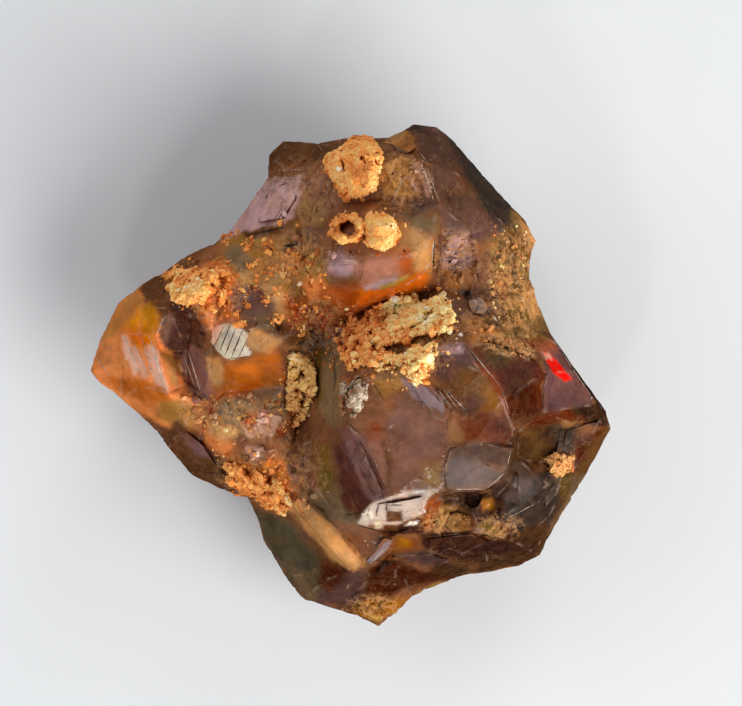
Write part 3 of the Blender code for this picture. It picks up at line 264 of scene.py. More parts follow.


# Colour zones of the crystals, seen from above in the photograph's pixels, painted in this order over each other:
# colour, brightness, softness of the border in pixels, and outline.
# The sheen colours are painted reflections of the light, and some black-brown zones are painted shade in recesses.
ZONES = [
    # Left crystal.
    ("tip_orange", 1.08, 4, [(86, 365), (94, 338), (118, 304), (140, 282), (165, 296), (160, 340), (178, 356),
        (190, 395), (205, 418), (178, 432), (150, 418), (116, 400), (94, 384)]),
    ("tan_dark", 1.25, 4, [(108, 316), (138, 286), (150, 300), (138, 312), (122, 332), (104, 344),
        (98, 338)]),
    ("umber", 0.95, 2, [(138, 288), (152, 277), (162, 274), (164, 286), (170, 294), (164, 302), (148, 302)]),
    ("umber", 1.3, 3, [(148, 302), (175, 300), (170, 312), (160, 320), (152, 312)]),
    ("yellow_amber", 1.0, 4, [(140, 308), (152, 304), (160, 318), (158, 330), (150, 346), (140, 344),
        (128, 334), (130, 322)]),
    ("vivid_orange", 1.0, 6, [(124, 330), (142, 328), (152, 338), (146, 346), (136, 346)]),
    ("tip_orange", 1.1, 3, [(92, 352), (106, 338), (124, 340), (136, 374), (116, 376), (96, 374)]),
    ("pink_band_and_highlight", 0.95, 2, [(148, 344), (157, 350), (168, 388), (166, 394), (158, 388), (150, 366)]),
    ("pink_band_and_highlight", 1.05, 2, [(122, 334), (128, 336), (140, 370), (135, 374), (126, 358)]),
    ("pink_band_and_highlight", 0.9, 2, [(134, 346), (140, 350), (149, 376), (145, 380), (138, 366)]),
    ("tip_shadow", 0.95, 4, [(104, 378), (140, 378), (168, 394), (176, 404), (150, 404), (122, 394)]),
    ("olive_tan", 1.0, 3, [(160, 352), (172, 352), (182, 360), (186, 376), (178, 372), (166, 362)]),
    ("tan", 1.05, 2, [(169, 366), (177, 370), (180, 386), (172, 382)]),
    ("olive_tan", 1.1, 4, [(160, 402), (182, 398), (202, 412), (196, 426), (176, 428), (156, 416)]),
    ("wine", 0.7, 2, [(160, 338), (168, 316), (176, 306), (172, 298), (182, 296), (192, 306), (206, 326),
        (206, 338), (202, 352), (190, 350), (180, 356), (166, 348)]),
    ("purple_brown", 1.1, 2, [(164, 330), (172, 312), (178, 318), (170, 340), (163, 344)]),
    ("mauve", 0.95, 2, [(182, 356), (192, 346), (203, 352), (212, 374), (216, 392), (204, 398), (190, 386)]),
    ("wine", 0.8, 1.5, [(187, 380), (194, 384), (204, 398), (213, 402), (204, 409), (196, 400)]),
    ("rust", 1.0, 3, [(198, 402), (214, 402), (222, 410), (206, 420), (198, 412)]),
    # Between the left crystal and the middle.
    ("olive_tan", 0.8, 8, [(222, 232), (250, 230), (300, 238), (330, 262), (326, 300), (290, 300), (262, 286),
        (236, 290), (222, 262)]),
    ("tip_shadow", 1.0, 6, [(204, 262), (240, 258), (236, 300), (226, 320), (206, 324), (202, 300)]),
    ("tan_dark", 1.0, 4, [(240, 262), (270, 262), (266, 282), (240, 284)]),
    ("purple_brown", 1.0, 3, [(230, 296), (242, 286), (262, 284), (272, 298), (274, 312), (256, 320),
        (236, 316)]),
    ("wine", 1.2, 3, [(258, 286), (266, 286), (274, 300), (270, 310), (258, 304)]),
    ("tan", 0.88, 4, [(258, 278), (274, 280), (288, 296), (302, 316), (290, 322), (278, 314), (270, 298)]),
    ("olive_grey", 0.95, 3, [(254, 320), (272, 316), (276, 328), (262, 332)]),
    ("tan", 0.9, 4, [(248, 336), (256, 328), (264, 330), (280, 342), (270, 352), (254, 354), (246, 346)]),
    ("umber", 0.95, 3, [(278, 318), (314, 322), (318, 346), (300, 352), (284, 342)]),
    ("black_brown", 1.2, 2, [(276, 322), (284, 322), (283, 334), (277, 332)]),
    ("black_brown", 1.2, 2, [(309, 328), (317, 328), (316, 344), (309, 344)]),
    ("tip_shadow", 0.85, 6, [(224, 362), (250, 358), (276, 350), (288, 360), (286, 380), (262, 388),
        (244, 398), (214, 402), (210, 384)]),
    ("tip_shadow", 0.85, 5, [(226, 386), (252, 382), (266, 384), (246, 396), (218, 402)]),
    ("vivid_orange", 0.6, 3, [(240, 382), (258, 382), (256, 390), (244, 391)]),
    ("tip_shadow", 1.1, 4, [(232, 366), (256, 362), (260, 372), (238, 376)]),
    ("umber", 1.4, 3, [(284, 352), (296, 352), (294, 378), (284, 374)]),
    ("tan", 0.9, 3, [(208, 358), (222, 358), (222, 382), (212, 384)]),
    # Painted reflection of the light on the striped facet, with a pink edge.
    ("white_sheen", 0.78, 1.0, [(215, 330), (219, 326), (229, 323), (245, 330), (249, 335), (247, 346),
        (253, 352), (251, 356), (242, 357), (233, 360), (226, 358), (218, 350), (213, 342)]),
    ("pink_band_and_highlight", 1.1, 1.0, [(214, 332), (219, 327), (225, 327), (217, 345), (214, 342)]),
    ("olive_grey", 1.35, 3, [(214, 402), (242, 396), (284, 392), (288, 420), (270, 438), (236, 436),
        (214, 422)]),
    ("olive_grey", 1.1, 3, [(256, 392), (284, 388), (286, 408), (262, 408)]),
    ("pink_band_and_highlight", 0.72, 2, [(258, 408), (278, 410), (282, 422), (272, 436), (246, 434), (244, 426),
        (258, 420)]),
    ("rust", 1.1, 2, [(246, 412), (258, 410), (258, 424), (246, 424)]),
    ("tan", 0.95, 3, [(198, 416), (216, 416), (240, 430), (226, 440), (206, 436)]),
    ("red_brown", 1.2, 2, [(278, 424), (290, 420), (286, 436), (276, 434)]),
    ("brown", 1.05, 4, [(226, 438), (270, 436), (290, 450), (262, 462), (236, 458)]),
    ("pink_band_and_highlight", 0.8, 2, [(247, 447), (262, 446), (266, 456), (250, 460)]),
    ("tip_shadow", 1.15, 3, [(262, 462), (280, 456), (292, 464), (292, 482), (276, 482), (262, 476)]),
    ("wine", 1.1, 1.5, [(264, 484), (272, 480), (280, 490), (276, 496), (266, 494)]),
    ("purple_brown", 1.0, 2, [(292, 462), (308, 456), (318, 466), (312, 482), (294, 482)]),
    ("umber", 0.85, 3, [(156, 436), (178, 420), (206, 444), (232, 470), (236, 496), (208, 492), (178, 474),
        (160, 452)]),
    ("mauve", 0.8, 3, [(180, 432), (200, 440), (214, 458), (196, 456)]),
    # The middle, its groove and the growth bands.
    ("olive_grey", 1.0, 3, [(318, 346), (332, 338), (340, 352), (342, 384), (344, 424), (326, 430),
        (318, 404)]),
    ("olive", 1.2, 3, [(316, 350), (323, 348), (324, 400), (318, 404)]),
    ("brown", 0.85, 4, [(288, 424), (320, 420), (344, 430), (336, 470), (322, 500), (296, 484), (300, 456)]),
    ("olive", 1.3, 4, [(316, 446), (330, 444), (334, 486), (320, 492)]),
    ("olive_grey", 0.85, 4, [(304, 486), (340, 490), (366, 520), (352, 552), (326, 532)]),
    ("brown", 0.9, 4, [(336, 520), (372, 524), (372, 556), (352, 560)]),
    ("wine", 1.15, 3, [(336, 446), (350, 440), (366, 480), (374, 504), (356, 516), (342, 500)]),
    # Painted grey-mauve sheen on the V-shaped streaks.
    ("mauve", 0.95, 2, [(340, 428), (356, 428), (372, 452), (390, 490), (384, 500), (370, 500), (352, 458)]),
    ("rose_brown", 0.85, 3, [(362, 432), (384, 428), (388, 452), (392, 486), (384, 488), (374, 456)]),
    ("rust", 0.66, 8, [(364, 420), (384, 416), (386, 436), (368, 438)]),
    ("rose_brown", 0.7, 8, [(384, 420), (392, 400), (406, 394), (440, 418), (448, 432), (444, 452),
        (442, 472), (437, 489), (414, 490), (388, 486), (392, 462), (386, 440)]),
    ("umber", 0.85, 3, [(381, 440), (386, 441), (393, 464), (390, 486), (386, 486), (388, 464)]),
    ("rose_brown", 0.85, 14, [(402, 424), (424, 422), (432, 444), (412, 456), (400, 444)]),
    ("gold", 0.7, 8, [(424, 464), (440, 462), (438, 484), (420, 484)]),
    ("brown", 1.0, 4, [(360, 396), (392, 386), (404, 396), (388, 412), (366, 420)]),
    ("olive_tan", 0.95, 4, [(374, 378), (400, 372), (404, 386), (388, 396), (374, 390)]),
    ("brown", 0.95, 5, [(350, 396), (364, 392), (362, 430), (346, 430)]),
    ("brown", 0.85, 3, [(404, 350), (436, 344), (436, 376), (406, 378)]),
    # Painted sheen on the glossy blade facets.
    ("grey_mauve_sheen", 0.75, 1.5, [(399, 380), (408, 377), (432, 388), (444, 400), (443, 414), (430, 409),
        (414, 398)]),
    ("umber", 0.95, 2, [(434, 384), (448, 388), (474, 408), (460, 414), (442, 402)]),
    # Large crystal on the right.
    ("mauve", 0.42, 4, [(433, 350), (464, 343), (482, 366), (470, 378), (440, 382), (430, 368)]),
    ("tan_dark", 0.4, 8, [(450, 372), (480, 366), (500, 390), (496, 412), (474, 414), (462, 394)]),
    ("yellow_amber", 0.36, 8, [(482, 386), (500, 388), (500, 406), (484, 410)]),
    ("wine", 0.95, 6, [(462, 400), (478, 398), (474, 412), (464, 410)]),
    ("rust", 0.34, 7, [(456, 418), (500, 412), (510, 430), (490, 444), (456, 440)]),
    ("red_brown", 0.45, 8, [(480, 418), (506, 416), (510, 436), (492, 438)]),
    ("tan", 0.4, 6, [(446, 424), (456, 428), (460, 440), (448, 440)]),
    ("red_brown", 0.42, 2, [(466, 346), (500, 342), (524, 352), (546, 371), (541, 386), (541, 410),
        (526, 416), (506, 412), (500, 388), (484, 366)]),
    ("olive", 0.6, 8, [(480, 344), (510, 346), (512, 362), (490, 364)]),
    ("red_brown", 0.28, 8, [(506, 368), (530, 366), (538, 390), (516, 402), (506, 388)]),
    ("red_brown", 0.4, 7, [(500, 396), (528, 402), (536, 414), (508, 418)]),
    ("rust", 0.5, 2.5, [(478, 360), (500, 384), (508, 412), (502, 414), (496, 392), (474, 364)]),
    # Painted sheen on the flat triangular face.
    ("mauve_pink_sheen", 0.5, 1.5, [(545, 372), (543, 354), (551, 337), (557, 345), (593, 399), (586, 405),
        (564, 408), (542, 414)]),
    ("salmon", 0.42, 4, [(534, 344), (552, 338), (556, 350), (546, 356), (538, 352)]),
    ("red_brown", 0.9, 2, [(524, 338), (544, 334), (540, 346), (528, 348)]),
    ("red_flash", 1.25, 1.3, [(542, 353), (549, 355), (561, 367), (570, 379), (564, 381), (553, 373),
        (545, 363)]),
    # Painted highlight at the upper end of the red flash.
    ("pink_band_and_highlight", 0.95, 2, [(541, 352), (548, 353), (550, 358), (544, 358)]),
    ("black_brown", 0.9, 1.5, [(556, 345), (562, 346), (600, 398), (606, 412), (594, 402)]),
    ("black_brown", 1.0, 2, [(560, 410), (586, 404), (604, 402), (612, 416), (606, 428), (584, 424),
        (566, 420)]),
    ("red_brown", 0.55, 3, [(520, 424), (542, 413), (566, 408), (582, 418), (560, 422), (536, 428)]),
    ("umber", 0.42, 4, [(508, 434), (530, 426), (560, 424), (580, 428), (576, 446), (560, 460), (540, 468),
        (520, 480), (504, 474)]),
    ("charcoal", 0.9, 4, [(554, 430), (574, 430), (574, 446), (560, 454), (552, 444)]),
    ("olive_tan", 0.4, 4, [(518, 430), (534, 430), (532, 437), (520, 437)]),
    ("tan", 0.5, 2, [(562, 420), (574, 421), (572, 427), (563, 427)]),
    ("olive_tan", 0.32, 6, [(530, 440), (542, 440), (542, 460), (530, 458)]),
    ("rust", 0.28, 3, [(574, 440), (600, 428), (609, 432), (588, 462), (572, 476), (566, 470)]),
    ("tan_dark", 0.3, 3, [(592, 440), (610, 428), (616, 432), (584, 484), (574, 478)]),
    ("olive_grey", 0.9, 3, [(574, 478), (588, 474), (564, 532), (549, 564), (538, 556), (556, 520)]),
    ("olive", 1.1, 3, [(556, 466), (572, 476), (566, 500), (556, 494)]),
    ("charcoal", 0.85, 5, [(510, 478), (552, 470), (562, 500), (552, 530), (524, 536), (502, 520),
        (500, 500)]),
    ("grey_plate_sheen", 0.5, 4, [(506, 480), (530, 474), (534, 492), (510, 502), (498, 504)]),
    ("umber", 0.45, 3, [(500, 530), (530, 524), (548, 520), (544, 548), (516, 552), (500, 544)]),
    ("purple_brown", 0.5, 5, [(448, 446), (474, 441), (508, 446), (508, 462), (480, 462), (452, 470)]),
    # Painted grey reflection on the shell-shaped plate.
    ("grey_plate_sheen", 0.68, 5, [(446, 456), (470, 456), (492, 466), (505, 466), (496, 480), (484, 486),
        (446, 487), (442, 474)]),
    # Painted shadow in the recess below the plate.
    ("black_brown", 0.9, 2, [(438, 490), (486, 488), (504, 478), (510, 486), (500, 510), (470, 518),
        (446, 502)]),
    ("black_brown", 1.1, 3, [(466, 508), (500, 506), (504, 520), (486, 522)]),
    ("yellow_amber", 0.6, 3, [(480, 498), (490, 498), (492, 508), (482, 510)]),
    ("gold", 0.8, 5, [(426, 502), (446, 504), (462, 512), (450, 524), (428, 522)]),
    ("olive_tan", 0.7, 5, [(446, 514), (466, 514), (468, 528), (450, 530)]),
    ("olive", 1.3, 2.5, [(474, 520), (492, 522), (502, 534), (488, 536)]),
    ("rust", 0.8, 3, [(424, 498), (440, 498), (430, 530), (422, 528)]),
    # Lower crystals.
    ("wine", 0.42, 3, [(420, 534), (450, 530), (500, 538), (540, 548), (536, 560), (500, 566), (460, 560),
        (424, 548)]),
    ("umber", 0.45, 4, [(478, 556), (524, 552), (538, 560), (506, 574), (480, 574)]),
    ("umber", 0.5, 3, [(540, 536), (556, 530), (550, 560), (536, 556)]),
    ("tip_shadow", 0.34, 6, [(394, 536), (418, 536), (416, 546), (396, 556), (386, 558)]),
    ("mauve", 0.34, 4, [(396, 554), (424, 550), (452, 560), (448, 568), (414, 564)]),
    ("umber", 0.45, 3, [(430, 566), (468, 562), (470, 578), (440, 582)]),
    ("red_brown", 0.28, 2.5, [(370, 566), (384, 559), (402, 560), (420, 570), (454, 578), (418, 586),
        (388, 596), (362, 594)]),
    # Painted sheen on a slender grey facet.
    ("grey_mauve_sheen", 0.85, 1.2, [(386, 540), (392, 539), (384, 552), (370, 564), (366, 560)]),
    ("olive_bright", 0.7, 3, [(404, 604), (430, 588), (470, 578), (474, 588), (430, 600), (408, 612)]),
    ("mauve", 0.5, 3, [(328, 586), (346, 568), (368, 566), (362, 590), (346, 608), (318, 608), (304, 602)]),
    ("red_brown", 0.42, 5, [(320, 560), (340, 562), (348, 572), (330, 592), (322, 580)]),
    ("umber", 0.9, 2, [(348, 604), (372, 598), (366, 612), (350, 612)]),
    ("yellow_amber", 0.42, 4, [(362, 600), (390, 600), (406, 602), (388, 624), (372, 630), (350, 618)]),
    ("olive_bright", 1.0, 1.5, [(366, 618), (380, 616), (384, 626), (374, 630)]),
    ("smoke", 0.75, 5, [(252, 508), (278, 514), (300, 530), (318, 556), (320, 590), (306, 606), (284, 592),
        (260, 552)]),
    ("olive_grey", 0.9, 4, [(292, 570), (318, 572), (316, 608), (298, 604)]),
    ("tan", 0.98, 3, [(292, 494), (306, 498), (330, 524), (352, 548), (364, 562), (352, 570), (330, 556),
        (308, 530), (288, 508)]),
    ("tan", 1.02, 4, [(336, 540), (350, 544), (362, 560), (352, 568), (340, 556)]),
    # Painted sheen on the pale sparkling face, with small painted white reflections on it.
    ("pale_sheen", 0.74, 1.3, [(358, 522), (364, 510), (370, 502), (386, 496), (406, 489), (440, 486),
        (428, 496), (421, 513), (406, 518), (396, 524), (378, 528)]),
    ("white_sheen", 0.95, 1.2, [(362, 512), (366, 508), (373, 510), (374, 518), (364, 519)]),
    ("white_sheen", 0.95, 1.2, [(374, 522), (380, 520), (382, 526), (376, 528)]),
    ("umber", 0.95, 1, [(386, 509), (402, 509), (402, 520), (386, 520)]),
    ("umber", 1.3, 1, [(384, 523), (396, 523), (396, 533), (383, 531)]),
    ("wine", 0.6, 1, [(397, 523), (421, 519), (423, 532), (398, 533)]),
    ("white_sheen", 1.0, 1, [(405, 524), (410, 519), (419, 518), (416, 523)]),
    ("yellow_amber", 0.42, 4, [(398, 538), (408, 537), (409, 544), (400, 546)]),
    ("purple_brown", 1.3, 2, [(286, 462), (304, 460), (306, 478), (290, 482)]),
    # Ochre stains on the worn ground of the left half.
    ("tip_orange", 1.0, 4, [(268, 262), (296, 258), (304, 270), (286, 280), (270, 276)]),
    ("tip_shadow", 1.1, 6, [(212, 300), (232, 298), (238, 322), (214, 326), (206, 314)]),
    ("tip_orange", 0.9, 4, [(300, 284), (322, 276), (330, 296), (312, 306)]),
    ("rust", 1.0, 5, [(286, 300), (306, 300), (312, 322), (292, 326)]),
    ("tip_orange", 0.85, 5, [(196, 420), (214, 426), (236, 446), (228, 460), (208, 444)]),
    ("tip_shadow", 1.15, 5, [(232, 458), (262, 470), (290, 484), (300, 500), (276, 500), (246, 484)]),
    ("gold", 1.15, 4, [(236, 268), (258, 270), (256, 284), (238, 284)]),
    ("tan", 1.0, 3, [(206, 424), (226, 424), (240, 434), (226, 440), (210, 436)]),
    ("tip_orange", 1.0, 2.5, [(214, 330), (206, 322), (210, 312), (222, 316), (224, 324)]),
    # Upper crystals on the left.
    ("umber", 0.95, 3, [(266, 150), (284, 138), (330, 142), (326, 160), (280, 168), (262, 166)]),
    ("brown", 0.85, 3, [(300, 160), (326, 164), (322, 176), (304, 178)]),
    # Painted lilac sheen on the upper left facet.
    ("lilac_sheen", 1.35, 2.5, [(218, 240), (240, 214), (264, 180), (304, 178), (302, 200), (292, 222),
        (250, 232)]),
    ("lilac_sheen", 1.6, 4, [(256, 196), (296, 194), (290, 218), (250, 222)]),
    ("brown", 0.95, 4, [(304, 176), (336, 178), (338, 208), (322, 240), (300, 240), (300, 204)]),
    ("olive_tan", 0.95, 4, [(296, 204), (326, 200), (322, 232), (298, 230)]),
    ("purple_brown", 1.05, 4, [(306, 228), (326, 228), (328, 248), (306, 246)]),
    ("umber", 0.8, 2, [(244, 234), (284, 226), (286, 232), (250, 242)]),
    ("charcoal", 1.1, 2, [(282, 242), (300, 244), (296, 256), (284, 254)]),
    ("olive_tan", 1.05, 3, [(254, 242), (282, 240), (284, 262), (258, 264)]),
    ("olive_grey", 0.9, 3, [(224, 242), (246, 250), (256, 268), (240, 272), (226, 262)]),
    ("gold", 1.1, 3, [(262, 266), (286, 262), (290, 284), (262, 284)]),
    ("brown", 1.0, 4, [(316, 236), (344, 240), (350, 256), (322, 262)]),
    # Amber boulder in the middle.
    ("tan", 0.7, 6, [(400, 222), (420, 232), (432, 242), (433, 268), (424, 280), (406, 262), (396, 258),
        (402, 240)]),
    ("rust", 0.9, 5, [(396, 258), (408, 252), (414, 262), (410, 276), (398, 274)]),
    # Painted lilac sheen on the boulder's left side.
    ("lilac_sheen", 0.98, 5, [(328, 264), (340, 256), (356, 260), (360, 272), (344, 278), (330, 274)]),
    ("rose_brown", 1.0, 7, [(356, 266), (372, 258), (396, 262), (400, 276), (376, 288), (360, 286)]),
    ("vivid_orange", 1.05, 5, [(358, 292), (384, 292), (408, 280), (424, 272), (426, 280), (410, 294),
        (388, 302), (362, 312), (346, 318)]),
    ("rust", 0.9, 6, [(320, 286), (358, 290), (356, 308), (336, 318), (322, 306)]),
    ("rust", 0.9, 4, [(318, 306), (346, 312), (342, 330), (318, 334)]),
    # Painted sheen along the sliver across the boulder.
    ("grey_mauve_sheen", 1.0, 1.5, [(358, 288), (374, 282), (396, 276), (398, 281), (380, 290), (364, 291)]),
    ("olive_bright", 0.8, 2, [(378, 289), (396, 280), (408, 274), (409, 277), (394, 286), (381, 291)]),
    ("olive_grey", 0.95, 3, [(400, 212), (436, 220), (436, 236), (410, 228)]),
    ("umber", 1.2, 4, [(372, 200), (402, 200), (404, 216), (380, 216)]),
    # Upper crystals on the right.
    ("tan_dark", 0.95, 2, [(386, 142), (402, 128), (414, 136), (416, 156), (406, 156)]),
    ("tan", 0.85, 3, [(384, 140), (402, 128), (404, 138), (392, 146)]),
    ("olive_tan", 0.75, 5, [(382, 160), (410, 160), (414, 196), (400, 202), (384, 196)]),
    ("purple_brown", 0.8, 5, [(416, 134), (436, 138), (450, 156), (452, 168), (430, 166), (418, 156)]),
    ("purple_brown", 0.85, 6, [(426, 164), (452, 166), (462, 190), (440, 200), (428, 184)]),
    ("purple_brown", 0.8, 6, [(440, 190), (474, 194), (500, 232), (480, 244), (446, 234), (438, 210)]),
    ("mauve", 0.5, 5, [(462, 214), (496, 214), (500, 232), (474, 240)]),
    ("purple_brown", 1.1, 3, [(404, 200), (430, 196), (438, 212), (410, 218)]),
    ("charcoal", 1.05, 2, [(403, 131), (412, 121), (442, 124), (455, 136), (518, 202), (512, 212), (520, 232),
        (500, 234), (486, 212), (456, 166), (442, 148), (434, 137), (414, 133)]),
    ("purple_brown", 0.95, 3, [(420, 126), (438, 128), (448, 142), (456, 160), (446, 152), (434, 138)]),
    ("pink_band_and_highlight", 0.6, 1.5, [(410, 166), (420, 165), (428, 184), (433, 202), (428, 201), (418, 184)]),
    ("pink_band_and_highlight", 0.55, 1.5, [(404, 178), (409, 178), (418, 194), (413, 194)]),
    ("wine", 0.85, 2, [(438, 236), (450, 236), (448, 262), (436, 276), (434, 264)]),
    ("lilac_sheen", 0.85, 3, [(450, 240), (466, 236), (472, 262), (462, 274), (442, 272), (444, 250)]),
    ("brown", 1.0, 4, [(470, 240), (488, 244), (494, 290), (476, 292)]),
    ("brown", 0.8, 4, [(440, 270), (474, 270), (476, 290), (446, 290)]),
    ("tan_dark", 1.1, 3, [(444, 274), (462, 276), (458, 290), (446, 288)]),
    # Crumbling golden flank.
    ("gold", 0.62, 5, [(488, 240), (508, 232), (536, 262), (548, 320), (546, 340), (504, 340), (492, 300)]),
    ("olive_tan", 0.62, 5, [(494, 236), (510, 232), (530, 256), (512, 262), (498, 250)]),
    ("gold", 0.7, 3, [(508, 212), (522, 214), (522, 234), (514, 230)]),
    ("tan", 0.9, 3, [(520, 220), (538, 234), (539, 252), (524, 242)]),
    ("tan_dark", 0.75, 5, [(490, 276), (506, 272), (508, 296), (496, 300)]),
    ("tan", 0.95, 3, [(522, 288), (542, 290), (545, 316), (528, 318), (520, 300)]),
    ("purple_brown", 1.0, 3, [(478, 292), (498, 294), (504, 314), (488, 312)]),
    ("umber", 1.0, 3, [(498, 316), (514, 316), (516, 328), (502, 328)]),
    ("black_brown", 1.0, 1.5, [(460, 292), (471, 290), (472, 297), (468, 304), (462, 300)]),
    ("purple_brown", 1.15, 3, [(446, 300), (466, 302), (470, 322), (456, 322)]),
    ("grey_plate_sheen", 1.1, 1.2, [(468, 300), (480, 297), (488, 312), (480, 316), (470, 310)]),
    ("black_brown", 1.1, 1.5, [(470, 310), (480, 317), (496, 322), (492, 326), (474, 316)]),
    ("tan_dark", 1.0, 3, [(462, 318), (490, 326), (500, 344), (470, 340)]),
    ("tan", 0.95, 2, [(484, 334), (500, 332), (532, 352), (530, 358), (500, 346)]),
    # Below the crust in the middle.
    ("umber", 1.1, 3, [(404, 340), (432, 336), (444, 342), (410, 350)]),
    ("lilac_sheen", 0.8, 2, [(430, 346), (462, 342), (460, 352), (434, 356)]),
]

# Places that are brighter or, below 0, darker as a whole: middle, half width and half height in pixels.
BRIGHTER = [
    (270, 272, 76, 52, 0.45), (236, 430, 66, 46, 0.35), (285, 478, 44, 36, 0.25), (130, 350, 56, 66, 0.12),
    (350, 190, 70, 60, 0.25), (380, 262, 60, 36, 0.15), (240, 344, 40, 30, 0.15), (556, 470, 64, 90, -0.35),
    (480, 566, 130, 34, -0.35), (340, 590, 60, 34, -0.3), (500, 390, 60, 50, -0.2), (410, 455, 60, 60, -0.15),
    (470, 170, 60, 60, -0.2),
]

# Thin lines on growth steps and fractures, painted pale as the highlight where they catch the light: two ends and a
# width, in pixels.
GROWTH_LINES = [
    (150, 333, 167, 392, 2.2), (143, 336, 157, 388, 1.4), (125, 335, 142, 376, 2.0),
    (131, 334, 148, 374, 1.3), (189, 351, 201, 392, 1.8), (184, 354, 195, 386, 1.2),
    (158, 335, 168, 312, 1.4), (433, 242, 431, 262, 1.7), (431, 262, 420, 277, 1.6),
    (420, 277, 402, 288, 1.3), (424, 236, 433, 242, 1.2), (466, 347, 499, 387, 1.3),
    (499, 387, 508, 414, 1.0), (436, 388, 452, 410, 1.4), (441, 387, 457, 409, 1.0),
    (447, 392, 465, 410, 1.4), (432, 390, 447, 411, 0.9), (502, 520, 540, 500, 1.2),
    (512, 519, 517, 530, 0.9), (537, 526, 549, 516, 0.9), (270, 179, 305, 179, 1.3),
    (274, 171, 307, 171, 1.1), (262, 190, 296, 186, 0.9), (268, 184, 300, 182, 0.8),
    (421, 166, 432, 202, 2.4), (426, 170, 436, 200, 1.2), (406, 179, 416, 193, 1.8),
    (403, 179, 392, 205, 1.8), (442, 253, 458, 253, 1.4), (443, 260, 458, 260, 1.4),
    (444, 268, 464, 268, 1.3), (447, 246, 460, 247, 0.9), (446, 488, 484, 487, 1.6),
    (484, 487, 504, 470, 1.5), (504, 470, 509, 448, 1.2), (406, 525, 419, 518, 1.8),
    (487, 312, 499, 325, 1.8), (387, 503, 402, 503, 1.2), (388, 508, 402, 508, 1.2),
    (251, 448, 262, 454, 1.3), (255, 453, 266, 459, 1.3), (258, 447, 268, 452, 1.1),
    (354, 432, 384, 498, 0.6), (362, 430, 386, 486, 0.6), (551, 337, 559, 350, 1.0),
    (559, 350, 592, 399, 1.0), (416, 151, 428, 168, 1.0), (100, 340, 108, 352, 1.0), (96, 356, 112, 380, 1.2),
    (338, 262, 359, 262, 1.2), (332, 268, 352, 266, 0.9), (391, 148, 407, 156, 1.0),
    (309, 181, 301, 200, 1.0), (370, 563, 392, 538, 1.4),
]

# Small facets painted pale as glints, a painted highlight: place, size in pixels.
GLINTS = [
    (459, 335, 6.0), (455, 339, 3.0), (369, 514, 4.5), (379, 524, 3.5), (381, 534, 2.0), (365, 539, 2.0),
    (368, 543, 1.6), (193, 317, 2.2), (590, 398, 2.4), (299, 468, 2.2), (511, 256, 3.0), (522, 258, 2.6),
    (530, 271, 2.6), (521, 298, 2.8), (400, 258, 1.6), (372, 257, 1.4), (388, 260, 1.4), (352, 258, 1.6),
    (486, 339, 1.8), (512, 348, 1.6), (246, 331, 2.0), (219, 350, 2.0), (277, 300, 1.8), (505, 243, 1.8),
    (516, 283, 1.8), (535, 292, 1.6), (349, 382, 2.2), (356, 398, 2.0), (345, 406, 1.8), (425, 303, 2.2),
    (438, 312, 2.4), (431, 326, 2.0), (444, 300, 1.8), (498, 246, 1.8), (524, 240, 1.6), (474, 302, 2.4),
]

# Thin dark cracks, and dark lines along steps that are painted shade, given as the growth lines are.
DARK_LINES = [
    (226, 326, 216, 345, 1.7), (232, 325, 221, 351, 1.9), (238, 327, 226, 356, 1.9),
    (244, 331, 232, 359, 2.0), (249, 339, 240, 357, 1.5), (388, 503, 402, 503, 2.0),
    (466, 348, 476, 362, 2.4), (391, 148, 408, 159, 2.0), (446, 488, 486, 488, 2.2),
    (486, 488, 504, 474, 2.0), (556, 344, 594, 400, 2.6), (420, 534, 470, 531, 1.8),
    (470, 531, 502, 539, 1.6), (358, 524, 380, 529, 1.8), (230, 359, 252, 356, 1.6),
    (546, 366, 541, 388, 1.4), (542, 388, 541, 412, 1.4), (345, 514, 366, 510, 2.0),
    (340, 566, 352, 571, 2.0), (370, 560, 404, 560, 1.6), (268, 151, 290, 141, 2.0),
    (244, 237, 284, 229, 3.0), (284, 247, 300, 245, 3.0), (434, 240, 432, 274, 3.0),
    (475, 270, 478, 284, 2.2), (488, 280, 492, 292, 2.0), (320, 572, 336, 590, 1.4),
    (404, 338, 380, 350, 2.2), (440, 336, 446, 344, 2.0), (374, 384, 384, 400, 1.6),
    (346, 420, 360, 432, 2.2), (300, 290, 306, 298, 2.2), (310, 332, 316, 344, 2.0),
    (348, 614, 372, 620, 1.4),
]
# Small dark spots, painted shade in small hollows: place, size in pixels.
DARK_SPOTS = [
    (449, 332, 7.0), (446, 301, 3.0), (416, 300, 3.0), (391, 327, 4.0), (386, 331, 3.0), (412, 309, 3.0),
    (280, 329, 5.0), (313, 332, 4.0), (351, 254, 3.0), (404, 253, 3.0), (383, 303, 3.0), (437, 327, 2.4),
    (348, 392, 2.6), (341, 388, 2.4), (357, 404, 2.4), (364, 332, 2.0),
]

